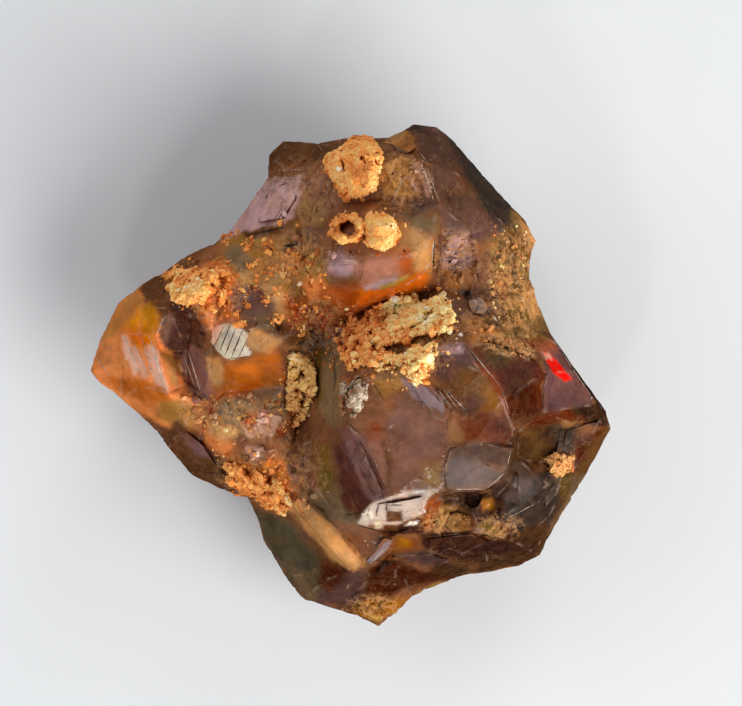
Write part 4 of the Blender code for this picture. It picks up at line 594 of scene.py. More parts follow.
# Loose grains beyond the crusts: outline, grains tried for each 40 square pixels of its box, grain size in pixels,
# and the colours that their tones run between.
SCATTERS = {
    "ridge_grains_left": ([(220, 229), (239, 231), (262, 240), (277, 240), (270, 255), (246, 252),
        (222, 244)], 9, 4.6, "ochre", "ochre_pale"),
    "ridge_grains_upper": ([(278, 220), (297, 218), (300, 228), (282, 230)], 8, 4.4, "ochre", "ochre_pale"),
    "ridge_grains_middle": ([(286, 250), (306, 250), (318, 262), (314, 275), (292, 272)], 10, 4.6, "ochre",
        "ochre_pale"),
    "grains_round_the_clump": ([(315, 158), (352, 132), (390, 150), (386, 180), (378, 204), (345, 208),
        (324, 192)], 2.6, 3.0, "ochre", "ochre_pale"),
    "grains_below_the_ring": ([(325, 222), (365, 205), (405, 214), (412, 240), (385, 262), (335, 252)], 2.0,
        2.6, "ochre", "ochre_pale"),
    "grains_round_the_centre": ([(325, 330), (345, 308), (400, 288), (452, 286), (466, 320), (452, 350),
        (440, 386), (405, 392), (372, 384), (330, 368)], 2.4, 3.0, "ochre", "cream"),
    "grains_below_the_blade": ([(404, 366), (432, 364), (430, 386), (410, 386)], 7, 3.2, "ochre", "cream"),
    "shoulder_grains": ([(160, 280), (180, 258), (235, 256), (250, 276), (236, 306), (215, 320), (178, 312)],
        2.4, 3.0, "ochre", "ochre_pale"),
    "granular_hollow": ([(196, 395), (284, 393), (290, 432), (246, 440), (206, 432)], 3.4, 3.0, "tan_crust",
        "ochre_pale"),
    "leaf_grains": ([(282, 350), (318, 350), (322, 392), (300, 432), (280, 416)], 3.2, 3.0, "ochre",
        "ochre_pale"),
    "lower_band_grains": ([(204, 432), (232, 440), (262, 452), (300, 482), (310, 508), (284, 522),
        (236, 498)], 3.8, 3.0, "ochre", "ochre_pale"),
    "golden_flank_grains": ([(490, 215), (528, 224), (544, 300), (548, 336), (500, 344), (484, 300),
        (488, 250)], 2.2, 3.4, "tan_crust", "cream"),
    "rope_grains": ([(482, 334), (500, 334), (534, 352), (530, 360), (505, 352), (482, 344)], 7, 3.2,
        "tan_crust", "ochre_pale"),
    "right_lump_grains": ([(544, 454), (572, 450), (574, 474), (550, 478)], 1.6, 2.6, "tan_crust",
        "ochre_pale"),
    "spot_in_the_recess": ([(481, 498), (490, 499), (491, 507), (482, 508)], 8, 2.0, "tan_crust",
        "ochre_pale"),
    "middle_left_grains": ([(236, 262), (325, 250), (330, 320), (296, 345), (268, 322), (236, 330)], 3.0, 4.2,
        "ochre", "ochre_pale"),
    "groove_grains": ([(310, 350), (345, 345), (345, 420), (312, 440)], 1.0, 2.4, "ochre_deep", "ochre"),
    "rod_grains": ([(286, 492), (306, 496), (330, 520), (318, 534), (292, 512)], 2.6, 2.6, "ochre",
        "ochre_pale"),
}

# Crust nodes: grains, grain size against the middle size, the two ends of their colour, and how far they are
# broken up, so that the garnet shows between them.
CRUSTS = {
    "ochre_clump_summit": (1100, 0.72, "ochre", "ochre_pale", 0.22),
    "ochre_ring": (520, 0.6, "ochre", "ochre_pale", 0.35),
    "ochre_knob": (520, 0.55, "ochre", "ochre_pale", 0.05),
    "ochre_crust_centre": (3600, 0.9, "ochre", "cream", 0.62),
    "grey_grain_patch": (520, 0.62, "grey_deep", "grey", 0.7),
    "ochre_crust_shoulder": (1400, 0.85, "ochre", "ochre_pale", 0.62),
    "ochre_leaf_crust": (900, 0.75, "tan_crust", "ochre_pale", 0.6),
    "ochre_band_lower": (1000, 0.8, "ochre", "ochre_pale", 0.68),
    "tan_lumps_right": (200, 0.55, "tan_crust", "tan_crust", 0.4),
}

# Spots where garnet shows through the crusts: middle, half width and half height in pixels.
BARE = [
    (398, 349, 17, 8), (419, 341, 12, 7), (441, 338, 10, 8), (366, 368, 10, 6), (214, 300, 8, 8),
    (272, 480, 8, 6),
]

# How far the thin edges of a crust are broken up, and how upright the ground may stand where loose grains lie: 1 is
# level and 0 upright.
RAGGEDNESS = 0.8
LEAST_SLOPE = 0.3

# Places where the crusts are paler or, below 0, deeper in tone: middle, half width and half height in pixels.
PALER_CRUST = [
    (420, 308, 46, 34, 0.26), (176, 286, 16, 24, 0.15), (378, 150, 20, 14, 0.08), (350, 396, 20, 26, -0.04),
    (352, 342, 26, 26, -0.02), (225, 280, 24, 34, -0.1), (384, 234, 18, 20, 0.1), (300, 388, 18, 42, 0.14),
    (355, 168, 30, 36, -0.06), (345, 231, 17, 15, -0.12), (558, 462, 26, 18, -0.06),
]

# Crumbling ground, where the faces break into small tilted chips: place, half width and half height in pixels,
# how strongly they tilt, and chip size in pixels.
CRUMBLING = [
    (515, 285, 34, 66, 0.55, 6.5), (245, 418, 46, 26, 0.45, 7), (256, 476, 44, 28, 0.5, 5.5),
    (300, 366, 18, 26, 0.5, 5), (395, 340, 66, 48, 0.4, 5), (558, 462, 20, 14, 0.4, 5),
    (296, 256, 40, 30, 0.5, 5.5), (212, 288, 40, 34, 0.5, 5.5), (508, 346, 30, 12, 0.5, 5),
    (400, 185, 34, 34, 0.4, 7), (455, 262, 26, 34, 0.35, 6), (320, 320, 34, 30, 0.4, 7),
    (440, 520, 30, 16, 0.4, 6), (300, 470, 34, 40, 0.3, 7), (375, 608, 34, 16, 0.4, 6),
    (300, 195, 44, 40, 0.22, 9), (500, 525, 26, 16, 0.35, 6), (200, 410, 24, 20, 0.4, 6),
    (480, 320, 26, 26, 0.35, 6), (420, 255, 10, 26, 0.15, 6),
]

# Rounded places: middle, half width and half height in pixels, and how often they are smoothed.
ROUNDED = [
    (382, 268, 54, 42, 24), (326, 528, 44, 44, 6), (250, 262, 52, 40, 8), (512, 280, 30, 62, 10),
    (268, 345, 22, 20, 8), (250, 376, 40, 20, 8), (330, 190, 34, 40, 10), (334, 400, 16, 60, 8),
    (300, 300, 40, 40, 8), (410, 345, 66, 44, 6),
]

# Shell-shaped fractures: middle of the ripples, reach and spacing in pixels, and height.
RIPPLES = [
    (420, 430, 95, 13, 0.004), (372, 232, 62, 9, 0.012), (480, 420, 70, 8, 0.010), (232, 300, 50, 7, 0.008),
    (560, 352, 60, 11, 0.006), (300, 610, 60, 10, 0.008),
]


def plan(across, down):
    """The place seen from above, in metres, of a pixel of the photograph."""
    return Vector(((across - MIDDLE_ACROSS) * PIXEL, (MIDDLE_DOWN - down) * PIXEL))


def pixels_of(points):
    """Pixels of the photograph for rows of metre positions."""
    across = points[:, 0] / PIXEL + MIDDLE_ACROSS
    down = MIDDLE_DOWN - points[:, 1] / PIXEL
    return np.column_stack([across, down])


def colour_of(settings, name):
    return np.array(getattr(settings, name)[:])


def new_piece(name, mesh, material):
    obj = bpy.data.objects.new(name, mesh)
    bpy.context.scene.collection.objects.link(obj)
    mesh.materials.clear()
    mesh.materials.append(material)
    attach(obj, "root")
    return obj


def outline_distance(spots, outline):
    """How many pixels each spot lies outside an outline, and below 0 inside it."""
    nearest = np.full(len(spots), np.inf)
    within = np.zeros(len(spots), bool)
    corners = np.array(outline, float)
    for a, b in zip(corners, np.roll(corners, -1, axis=0)):
        along = b - a
        offset = spots - a
        share = np.clip((offset @ along) / (along @ along), 0, 1)
        nearest = np.minimum(nearest, np.hypot(*(offset - share[:, None] * along).T))
        crosses = (a[1] > spots[:, 1]) != (b[1] > spots[:, 1])
        reach = a[0] + (spots[:, 1] - a[1]) / ((b[1] - a[1]) or 1) * along[0]
        within ^= crosses & (reach > spots[:, 0])
    return np.where(within, -nearest, nearest)


def noise_at(points, size, seed=0.0):
    """Smooth noise from about -1 to 1 with waves of the given size."""
    shift = Vector((seed, seed * 0.7, -seed))
    return np.array([noise.noise(Vector(place) / size + shift) for place in points])


def smooth_step(values):
    values = np.clip(values, 0, 1)
    return values * values * (3 - 2 * values)


def zone_colours(points, settings):
    """The colour of the crystal at places on its upper side, from the zones, with wavering borders."""
    exact = pixels_of(points)
    wavering = exact
    for size, reach, seed in BORDER_WAVES:
        shift = np.column_stack([noise_at(points, size, seed), noise_at(points, size, -seed)])
        wavering = wavering + shift * reach
    blend = smooth_step(noise_at(points, 0.8 * MM, 5.0) + 0.5)[:, None]
    colours = colour_of(settings, "brown") * blend + colour_of(settings, "umber") * 1.2 * (1 - blend)
    for name, brightness, softness, outline in ZONES:
        spots = exact if softness < CRISP_BELOW else wavering
        softness *= 1 if softness < CRISP_BELOW else SOFTER_BORDERS
        low = np.min(outline, axis=0) - softness
        high = np.max(outline, axis=0) + softness
        near = np.nonzero(((spots > low) & (spots < high)).all(1))[0]
        if not len(near):
            continue
        share = smooth_step(0.5 - outline_distance(spots[near], outline) / (2 * softness))[:, None]
        colours[near] = colours[near] * (1 - share) + colour_of(settings, name) * brightness * share
    for across, down, wide, tall, more in BRIGHTER:
        colours *= 1 + more * oval(exact, across, down, wide, tall)[:, None]
    return colours


def flank_colours(points, settings):
    """The colour of the steep flanks and the under side: clouds of brown, wine and orange."""
    first = smooth_step(noise_at(points, 1.7 * MM, 21.0) * 1.4 + 0.5)[:, None]
    second = smooth_step(noise_at(points, 1.1 * MM, 33.0) * 1.6 + 0.2)[:, None]
    colours = colour_of(settings, "rose_brown") * 0.8 * first + colour_of(settings, "wine") * 1.3 * (1 - first)
    colours = colours * (1 - second * 0.6) + colour_of(settings, "tip_shadow") * 0.8 * second * 0.6
    glow = smooth_step(noise_at(points, 0.7 * MM, 47.0) * 2 - 0.35)[:, None]
    colours = colours * (1 - glow * 0.4) + colour_of(settings, "yellow_amber") * glow * 0.4
    rightward = smooth_step((pixels_of(points)[:, :1] - 230) / 200)
    return colours * (1 - 0.45 * rightward)


def clean_bmesh(node):
    """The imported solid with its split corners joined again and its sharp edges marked."""
    solid = bmesh.new()
    solid.from_mesh(node.data)
    bmesh.ops.remove_doubles(solid, verts=solid.verts, dist=1e-7)
    bmesh.ops.dissolve_degenerate(solid, edges=solid.edges, dist=1e-7)
    bmesh.ops.triangulate(solid, faces=solid.faces)
    for face in solid.faces:
        face.smooth = True
    for edge in solid.edges:
        edge.smooth = edge.calc_face_angle(math.pi) < CRYSTAL_EDGE
    return solid


def refine(solid, fine, coarse, low, most):
    """Splits the longest edges first, finely on the upper side and coarsely below the given height, within a number
    of triangles."""
    for share in SPLIT_ROUNDS:
        long_edges = []
        for edge in solid.edges:
            middle = (edge.verts[0].co + edge.verts[1].co) / 2
            facing = sum(face.normal.z for face in edge.link_faces)
            limit = fine if facing > 0.2 and middle.z > low else coarse
            ratio = edge.calc_length() / limit
            if ratio > share:
                long_edges.append((ratio, edge))
        room = (most - len(solid.faces)) // 2
        if room <= 0:
            return
        if len(long_edges) > room:
            long_edges.sort(key=lambda item: -item[0])
            long_edges = long_edges[:room]
        if long_edges:
            bmesh.ops.subdivide_edges(solid, edges=[edge for _, edge in long_edges], cuts=1)
            bmesh.ops.triangulate(solid, faces=[face for face in solid.faces if len(face.verts) > 3])
            solid.normal_update()


def round_off(solid):
    """Rounds the places that aren't flat faces, such as the boulder and the worn ridges."""
    for across, down, wide, tall, rounds in ROUNDED:
        chosen = []
        for corner in solid.verts:
            aside = (corner.co.x / PIXEL + MIDDLE_ACROSS - across) / wide
            along = (MIDDLE_DOWN - corner.co.y / PIXEL - down) / tall
            if aside ** 2 + along ** 2 < 1 and corner.co.z > GIRDLE_HEIGHT:
                chosen.append(corner)
        inner = set(chosen)
        for edge in solid.edges:
            if edge.verts[0] in inner and edge.verts[1] in inner:
                edge.smooth = edge.smooth or edge.calc_face_angle(math.pi) < WORN_EDGE
        for _ in range(rounds):
            bmesh.ops.smooth_vert(
                solid, verts=chosen, factor=0.5, use_axis_x=True, use_axis_y=True, use_axis_z=True
            )
    solid.normal_update()


def arrays_of(mesh):
    points = np.empty(len(mesh.vertices) * 3, np.float32)
    mesh.vertices.foreach_get("co", points)
    normals = np.empty(len(mesh.vertices) * 3, np.float32)
    mesh.vertices.foreach_get("normal", normals)
    return points.reshape(-1, 3).astype(float), normals.reshape(-1, 3).astype(float)


def set_points(mesh, points):
    """Moves the mesh's corners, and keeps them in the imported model's box."""
    points = np.clip(points, np.array(CAD_BOX[0]), np.array(CAD_BOX[1]))
    mesh.vertices.foreach_set("co", points.astype(np.float32).reshape(-1))
    return points


def set_values(mesh, name, values):
    layer = mesh.attributes.new(name, "FLOAT", "POINT")
    layer.data.foreach_set("value", np.array(values, np.float32))


def set_tint(mesh, colours):
    layer = mesh.color_attributes.new("tint", "FLOAT_COLOR", "POINT")
    colours = np.column_stack([colours, np.ones(len(colours))])
    layer.data.foreach_set("color", colours.astype(np.float32).reshape(-1))


def oval(spots, across, down, wide, tall):
    """1 in the middle of an oval, falling smoothly to 0 at its edge."""
    offset = spots - (across, down)
    distance = (offset[:, 0] / wide) ** 2 + (offset[:, 1] / tall) ** 2
    return np.clip(1 - distance, 0, 1) ** 0.8


def chips(points, strength, size):
    """Height and tone of small tilted chips of about the given size."""
    rise = np.zeros(len(points))
    tint = np.ones(len(points))
    for index in np.nonzero(strength > 0.01)[0]:
        place = Vector(points[index]) / size
        middle = noise.voronoi(place)[1][0]
        tilt = noise.cell_vector(middle * 9.7)
        rise[index] = (place - middle).dot(tilt) * size * strength[index]
        tint[index] = 1 + 0.9 * strength[index] * noise.cell(middle * 5.3)
    return rise, tint


def carve(mesh, settings):
    """Chips, shell ripples, gentle waviness and chipped edges, then the colours, with painted shade in the hollows.
    """
    points, normals = arrays_of(mesh)
    spots = pixels_of(points)
    upper = np.clip(normals[:, 2] * 3, 0, 1)
    rise = np.zeros(len(points))
    tint = np.ones(len(points))
    crumbly = np.zeros(len(points))
    for across, down, wide, tall, height, size in CRUMBLING:
        strength = oval(spots, across, down, wide, tall) * height * upper
        more, tone_of_chip = chips(points, strength, size * PIXEL)
        crumbly = np.maximum(crumbly, strength * 2)
        rise += more
        tint *= tone_of_chip
    everywhere, tone_of_chip = chips(points, np.full(len(points), 0.05), 0.42 * MM)
    rise += everywhere
    tint *= tone_of_chip
    for across, down, reach, spacing, height in RIPPLES:
        distance = np.hypot(spots[:, 0] - across, spots[:, 1] - down)
        fade = np.clip(1 - distance / reach, 0, 1) * upper
        rise += height * MM * fade * np.abs(np.sin(math.pi * distance / spacing)) ** 0.5
    rise += noise_at(points, 0.9 * MM) * 0.010 * MM + noise_at(points, 0.2 * MM) * 0.004 * MM
    edges = sharp_points(mesh)
    bitten = np.clip(noise_at(points, 0.22 * MM, 2.0) + 0.15, 0, None) * 0.045 * MM
    rise -= bitten * edges
    colours = zone_colours(points, settings)
    low_down = smooth_step((FLANK_BELOW - points[:, 2]) / FLANK_FADE)
    steep = smooth_step((0.16 - normals[:, 2]) / 0.28)
    flank = np.maximum.reduce([steep, covered(mesh, COVER_GAP), low_down])[:, None]
    colours = colours * (1 - flank) + flank_colours(points, settings) * flank
    grey = colours.mean(1, keepdims=True)
    colours = grey + (colours - grey) * settings.saturation
    warmth = noise_at(points, 0.5 * MM, 61.0) * 0.9 + noise_at(points, 0.16 * MM, 67.0) * 0.6
    colours = colours * (1 + warmth[:, None] * np.array([0.16, 0.03, -0.14]))
    colours = colours * tint[:, None] * settings.brightness
    points += normals * rise[:, None]
    wander = np.column_stack([noise_at(points, 0.55 * MM, 13.0), noise_at(points, 0.55 * MM, 17.0)])
    points[:, :2] += wander * 0.018 * MM
    points = set_points(mesh, points)
    mesh.update()
    # Painted shade: corners in hollows are darkened towards deep red, less where the zone colour is pale.
    paleness = smooth_step((colours.min(1) - 0.35) / 0.3)
    hollow_shade = (painted_hollow_shade(mesh) * (1 - 0.8 * paleness))[:, None]
    colours *= np.clip(1 - hollow_shade * np.array([settings.hollow_shade_depth, 1.12, 1.2]) * 1.1, 0.16, 1)
    set_tint(mesh, np.clip(colours, 0, 0.98))
    set_values(mesh, "crumbly", np.clip(crumbly, 0, 1))
    set_values(mesh, "edge_wear", edges * np.clip(noise_at(points, 0.3 * MM, 8.0) * 2, 0, 1))
    mesh.update()


def covered(mesh, least):
    """1 where another part of the surface stands at least so far above, 0 in the open."""
    surface = tree_of(mesh)
    points, _ = arrays_of(mesh)
    above = np.zeros(len(points))
    for index, point in enumerate(points):
        start = Vector(point) + Vector((0, 0, RAY_LIFT))
        distance = surface.ray_cast(start, Vector((0, 0, 1)))[3]
        above[index] = distance is not None and distance > least
    return above


def painted_hollow_shade(mesh):
    """Painted shade: 0 on open faces, towards 1 where the surface round a corner stands over it."""
    surface = tree_of(mesh)
    points, normals = arrays_of(mesh)
    hidden = np.zeros(len(points))
    rays = []
    for step in range(SHADE_RAYS):
        angle = step * 2.4
        flat = math.sqrt((step + 0.5) / SHADE_RAYS) * 0.95
        rays.append(Vector((math.cos(angle) * flat, math.sin(angle) * flat, math.sqrt(1 - flat * flat))))
    for index, (point, normal) in enumerate(zip(points, normals)):
        normal = Vector(normal)
        start = Vector(point) + normal * 0.02 * MM
        turn = normal.to_track_quat("Z", "Y")
        for ray in rays:
            distance = surface.ray_cast(start, turn @ ray, SHADE_RAY_REACH)[3]
            if distance is not None:
                hidden[index] += 1 - distance / SHADE_RAY_REACH * 0.6
    return hidden / len(rays)


def sharp_points(mesh):
    """1 at corners that lie on a sharp edge, 0 elsewhere."""
    edges = np.zeros(len(mesh.vertices))
    sharp = mesh.attributes.get("sharp_edge")
    if sharp:
        flags = np.zeros(len(mesh.edges), bool)
        sharp.data.foreach_get("value", flags)
        ends = np.empty(len(mesh.edges) * 2, np.int32)
        mesh.edges.foreach_get("vertices", ends)
        edges[ends.reshape(-1, 2)[flags].reshape(-1)] = 1
    return edges


def build_group(name, inputs, outputs, fill):
    """A shader node group with named sockets, built once."""
    found = bpy.data.node_groups.get(name)
    if found:
        return found
    group = bpy.data.node_groups.new(name, "ShaderNodeTree")
    for label, kind, value in inputs:
        socket = group.interface.new_socket(name=label, in_out="INPUT", socket_type=kind)
        socket.default_value = value
    for label, kind in outputs:
        group.interface.new_socket(name=label, in_out="OUTPUT", socket_type=kind)
    fill(group, group.nodes.new("NodeGroupInput"), group.nodes.new("NodeGroupOutput"))
    return group


def math_node(tree, operation, first, second=None, clamp=False):
    node = tree.nodes.new("ShaderNodeMath")
    node.operation = operation
    node.use_clamp = clamp
    for socket, value in zip(node.inputs, (first, second)):
        if isinstance(value, (int, float)):
            socket.default_value = value
        elif value is not None:
            tree.links.new(value, socket)
    return node.outputs[0]


def mix_node(tree, share, first, second, blend="MIX"):
    node = tree.nodes.new("ShaderNodeMix")
    node.data_type = "RGBA"
    node.blend_type = blend
    for socket, value in ((node.inputs[0], share), (node.inputs[6], first), (node.inputs[7], second)):
        if isinstance(value, tuple):
            socket.default_value = (*value, 1)
        else:
            tree.links.new(value, socket)
    return node.outputs[2]


def noise_node(tree, scale, detail, rough=0.6):
    node = tree.nodes.new("ShaderNodeTexNoise")
    node.inputs["Scale"].default_value = scale
    node.inputs["Detail"].default_value = detail
    node.inputs["Roughness"].default_value = rough
    place = tree.nodes.new("ShaderNodeTexCoord").outputs["Object"]
    tree.links.new(place, node.inputs["Vector"])
    return node.outputs["Fac"]


def ramp_node(tree, value, stops):
    node = tree.nodes.new("ShaderNodeValToRGB")
    ramp = node.color_ramp
    while len(ramp.elements) < len(stops):
        ramp.elements.new(0.5)
    for element, (place, colour) in zip(ramp.elements, stops):
        element.position = place
        element.color = (colour, colour, colour, 1) if isinstance(colour, (int, float)) else (*colour, 1)
    tree.links.new(value, node.inputs[0])
    return node.outputs[0]


def clouding_group():
    """Brighter and darker clouds, fine mottling and small dark inclusions over a colour."""

    def fill(group, source, sink):
        clouds = ramp_node(group, noise_node(group, 1500, 5, 0.65), [(0.3, 0.62), (0.5, 1.0), (0.72, 1.3)])
        mottle = ramp_node(group, noise_node(group, 7500, 4, 0.7), [(0.3, 0.7), (0.52, 1.0), (0.7, 1.25)])
        specks = ramp_node(group, noise_node(group, 11000, 3, 0.7), [(0.3, 1.0), (0.4, 0.0)])
        fold = math_node(group, "ABSOLUTE", math_node(group, "SUBTRACT", noise_node(group, 1900, 7, 0.62), 0.5))
        patchy = ramp_node(group, noise_node(group, 900, 2), [(0.45, 0.0), (0.6, 1.0)])
        vein = math_node(group, "MULTIPLY", ramp_node(group, fold, [(0.0, 1.0), (0.02, 0.0)]), patchy)
        cloudy = mix_node(group, source.outputs["Clouds"], source.outputs["Colour"], clouds, "MULTIPLY")
        mottled = mix_node(group, source.outputs["Mottling"], cloudy, mottle, "MULTIPLY")
        veined = mix_node(group, math_node(group, "MULTIPLY", vein, source.outputs["Veins"]), mottled, VEIN)
        speckled = math_node(group, "MULTIPLY", specks, source.outputs["Specks"])
        final = mix_node(group, speckled, veined, INCLUSION)
        group.links.new(final, sink.inputs["Colour"])

    return build_group(
        "Clouding",
        [
            ("Colour", "NodeSocketColor", (0.5, 0.5, 0.5, 1)),
            ("Clouds", "NodeSocketFloat", 0.6),
            ("Mottling", "NodeSocketFloat", 0.6),
            ("Specks", "NodeSocketFloat", 0.4),
            ("Veins", "NodeSocketFloat", 0.0),
        ],
        [("Colour", "NodeSocketColor")],
        fill,
    )


def grain_group():
    """Fine uneven height for a bump, in coarse and fine octaves."""

    def fill(group, source, sink):
        coarse = noise_node(group, 9000, 4, 0.65)
        fine = noise_node(group, 32000, 2, 0.6)
        total = math_node(group, "ADD", coarse, math_node(group, "MULTIPLY", fine, source.outputs["Fine"]))
        group.links.new(total, sink.inputs["Height"])

    return build_group("Fine grain", [("Fine", "NodeSocketFloat", 0.5)], [("Height", "NodeSocketFloat")], fill)


def place_group(tree, group, values):
    node = tree.nodes.new("ShaderNodeGroup")
    node.node_tree = group
    for name, value in values.items():
        if isinstance(value, (int, float)):
            node.inputs[name].default_value = value
        else:
            tree.links.new(value, node.inputs[name])
    return node


def attribute(tree, name, output):
    node = tree.nodes.new("ShaderNodeAttribute")
    node.attribute_name = name
    return node.outputs[output]


def new_material(name):
    material = bpy.data.materials.new(name)
    material.use_nodes = True
    return material, material.node_tree, material.node_tree.nodes["Principled BSDF"]


def uneven_roughness(tree, shader, scale, smooth, rough):
    """Roughness in patches, from a smooth to a rough stop of a ramp."""
    value = ramp_node(tree, noise_node(tree, scale, 2), [smooth, rough])
    tree.links.new(value, shader.inputs["Roughness"])


def bump(tree, shader, height, strength):
    node = tree.nodes.new("ShaderNodeBump")
    node.inputs["Strength"].default_value = strength
    node.inputs["Distance"].default_value = BUMP_DEPTH
    tree.links.new(height, node.inputs["Height"])
    tree.links.new(node.outputs["Normal"], shader.inputs["Normal"])


def garnet_material(settings):
    """See-through garnet: zone colours, inner clouds, a little ochre dust, and worn edges lightened also as a
    painted highlight.
    """
    material, tree, shader = new_material("garnet")
    crumbly = attribute(tree, "crumbly", "Fac")
    mottling = math_node(tree, "ADD", math_node(tree, "MULTIPLY", crumbly, 0.8), 0.16)
    clouded = place_group(
        tree,
        clouding_group(),
        {"Colour": attribute(tree, "tint", "Color"), "Clouds": 1.0, "Mottling": mottling, "Specks": mottling,
         "Veins": 0.16},
    )
    dusty = ramp_node(tree, noise_node(tree, 5200, 6, 0.75), [(0.45, 0.0), (0.57, 1.0)])
    dust_share = math_node(tree, "ADD", math_node(tree, "MULTIPLY", crumbly, 0.85), 0.04)
    dust = math_node(tree, "MULTIPLY", dusty, dust_share)
    dusted = mix_node(tree, dust, clouded.outputs["Colour"], DUST)
    # Sharp edges lighten: wear, and a painted highlight along the edges.
    wear_and_highlight = math_node(tree, "MULTIPLY", attribute(tree, "edge_wear", "Fac"), 0.3)
    worn = mix_node(tree, wear_and_highlight, dusted, WORN_AND_HIGHLIGHT)
    tree.links.new(worn, shader.inputs["Base Color"])
    rough = math_node(tree, "ADD", math_node(tree, "MULTIPLY", dust, 0.9), math_node(tree, "MULTIPLY", wear_and_highlight, 0.4))
    rough = math_node(tree, "ADD", rough, 0.1, True)
    tree.links.new(rough, shader.inputs["Roughness"])
    shader.inputs["IOR"].default_value = settings.bending
    shader.inputs["Transmission Weight"].default_value = settings.see_through
    shader.inputs["Specular IOR Level"].default_value = settings.gloss
    grain = place_group(tree, grain_group(), {"Fine": 0.4})
    height = math_node(tree, "MULTIPLY", grain.outputs["Height"], math_node(tree, "ADD", crumbly, 0.12))
    bump(tree, shader, height, 0.6)
    absorb = tree.nodes.new("ShaderNodeVolumeAbsorption")
    absorb.inputs["Color"].default_value = (*settings.absorption_colour, 1)
    absorb.inputs["Density"].default_value = settings.absorption_density
    tree.links.new(absorb.outputs[0], tree.nodes["Material Output"].inputs["Volume"])
    return material


def chip_material(settings):
    """Loose chips of garnet: glossy, in the colour of the place they lie on."""
    material, tree, shader = new_material("garnet_chips")
    clouded = place_group(
        tree,
        clouding_group(),
        {"Colour": attribute(tree, "tint", "Color"), "Clouds": 0.3, "Mottling": 0.4, "Specks": 0.2},
    )
    tree.links.new(clouded.outputs["Colour"], shader.inputs["Base Color"])
    uneven_roughness(tree, shader, 9000, (0.3, 0.12), (0.7, 0.4))
    shader.inputs["IOR"].default_value = settings.bending
    return material


def crust_material(name, settings, low, high):
    """Rough crumbling ochre, each grain with its own tone."""
    material, tree, shader = new_material(name)
    deep = colour_of(settings, "ochre_deep") * (0.55 if low == "ochre_deep" else 1)
    grain = attribute(tree, "grain", "Fac")
    cloud = math_node(tree, "SUBTRACT", noise_node(tree, 4500, 5, 0.7), 0.5)
    value = math_node(tree, "ADD", grain, math_node(tree, "MULTIPLY", cloud, 0.55), True)
    # The palest tones run into white grains: painted glints.
    colour = ramp_node(
        tree,
        value,
        [(0.06, tuple(deep * 0.4)), (0.25, tuple(deep)), (0.5, tuple(colour_of(settings, low))),
         (0.82, tuple(colour_of(settings, high))), (1.0, tuple(colour_of(settings, "white_grain")))],
    )
    tree.links.new(colour, shader.inputs["Base Color"])
    uneven_roughness(tree, shader, 12000, (0.3, 0.5), (0.6, 0.9))
    height = place_group(tree, grain_group(), {"Fine": 0.8})
    bump(tree, shader, height.outputs["Height"], 0.7)
    return material


def line_material(settings, name, colour_name):
    """Step edges and small facets, pale where they shine as a painted highlight, and dark where they are open
    cracks or painted shade.
    """
    material, tree, shader = new_material(name)
    pale = colour_of(settings, colour_name)
    stops = [(0.35, tuple(pale * 0.35)), (0.65, tuple(pale * 0.85))]
    colour = ramp_node(tree, noise_node(tree, 6000, 3), stops)
    tree.links.new(colour, shader.inputs["Base Color"])
    uneven_roughness(tree, shader, 9000, (0.3, 0.15), (0.7, 0.4))
    shader.inputs["IOR"].default_value = settings.bending
    return material


def tree_of(mesh):
    mesh.calc_loop_triangles()
    corners = [tuple(triangle.vertices) for triangle in mesh.loop_triangles]
    return BVHTree.FromPolygons([vertex.co for vertex in mesh.vertices], corners)


def garnet_surface():
    """The finished garnet, for whatever lies on it."""
    return tree_of(bpy.data.objects["garnet_crystals"].data)


def drop(tree, spot):
    """Where a line straight down meets the surface, and the surface's slope there."""
    found = tree.ray_cast(Vector((spot.x, spot.y, SKY)), Vector((0, 0, -1)))
    return found[0], found[1]


def crumb_shape(level):
    solid = bmesh.new()
    bmesh.ops.create_icosphere(solid, subdivisions=level, radius=1)
    points = np.array([vertex.co[:] for vertex in solid.verts])
    faces = np.array([[vertex.index for vertex in face.verts] for face in solid.faces])
    solid.free()
    return points, faces


def crumbs_mesh(name, places, sizes, values, rng, shapes):
    """One mesh of many angular grains, each with its own shape, turn and tone or colour."""
    all_points, all_faces, all_values = [], [], []
    count = 0
    for place, size, value in zip(places, sizes, values):
        points, faces = shapes[0] if rng.uniform() < 0.8 else shapes[1]
        lumps = 1 + rng.uniform(-0.42, 0.25, len(points))
        stretch = rng.uniform(0.4, 1.4, 3)
        turn = np.array(Euler(rng.uniform(0, math.tau, 3)).to_matrix())
        all_points.append((points * lumps[:, None] * stretch * size / 2) @ turn.T + place)
        all_faces.append(faces + count)
        all_values.append(np.repeat(np.atleast_2d(value), len(points), axis=0))
        count += len(points)
    mesh = bpy.data.meshes.new(name)
    if not count:
        raise RuntimeError(f"{name} has no grains")
    mesh.from_pydata(np.concatenate(all_points).tolist(), [], np.concatenate(all_faces).tolist())
    values = np.concatenate(all_values)
    if values.shape[1] == 1:
        set_values(mesh, "grain", values[:, 0])
    else:
        set_tint(mesh, values)
    return mesh


def surface_samples(mesh, count, rng):
    """Random places on the upper faces, evenly by area."""
    mesh.calc_loop_triangles()
    corners = np.array([[mesh.vertices[i].co[:] for i in triangle.vertices] for triangle in mesh.loop_triangles])
    normals = np.cross(corners[:, 1] - corners[:, 0], corners[:, 2] - corners[:, 0])
    areas = np.linalg.norm(normals, axis=1)
    facing = normals[:, 2] / np.maximum(areas, 1e-20)
    weights = areas * (facing > -0.05)
    chosen = rng.choice(len(corners), count, p=weights / weights.sum())
    shares = rng.uniform(0, 1, (count, 2))
    over = shares.sum(1) > 1
    shares[over] = 1 - shares[over]
    picked = corners[chosen]
    first, second = picked[:, 1] - picked[:, 0], picked[:, 2] - picked[:, 0]
    return picked[:, 0] + shares[:, :1] * first + shares[:, 1:] * second


def below_the_top(places, sizes):
    """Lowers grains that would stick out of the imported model's box."""
    places[:, 2] = np.minimum(places[:, 2], CAD_BOX[1][2] - sizes * 0.75)


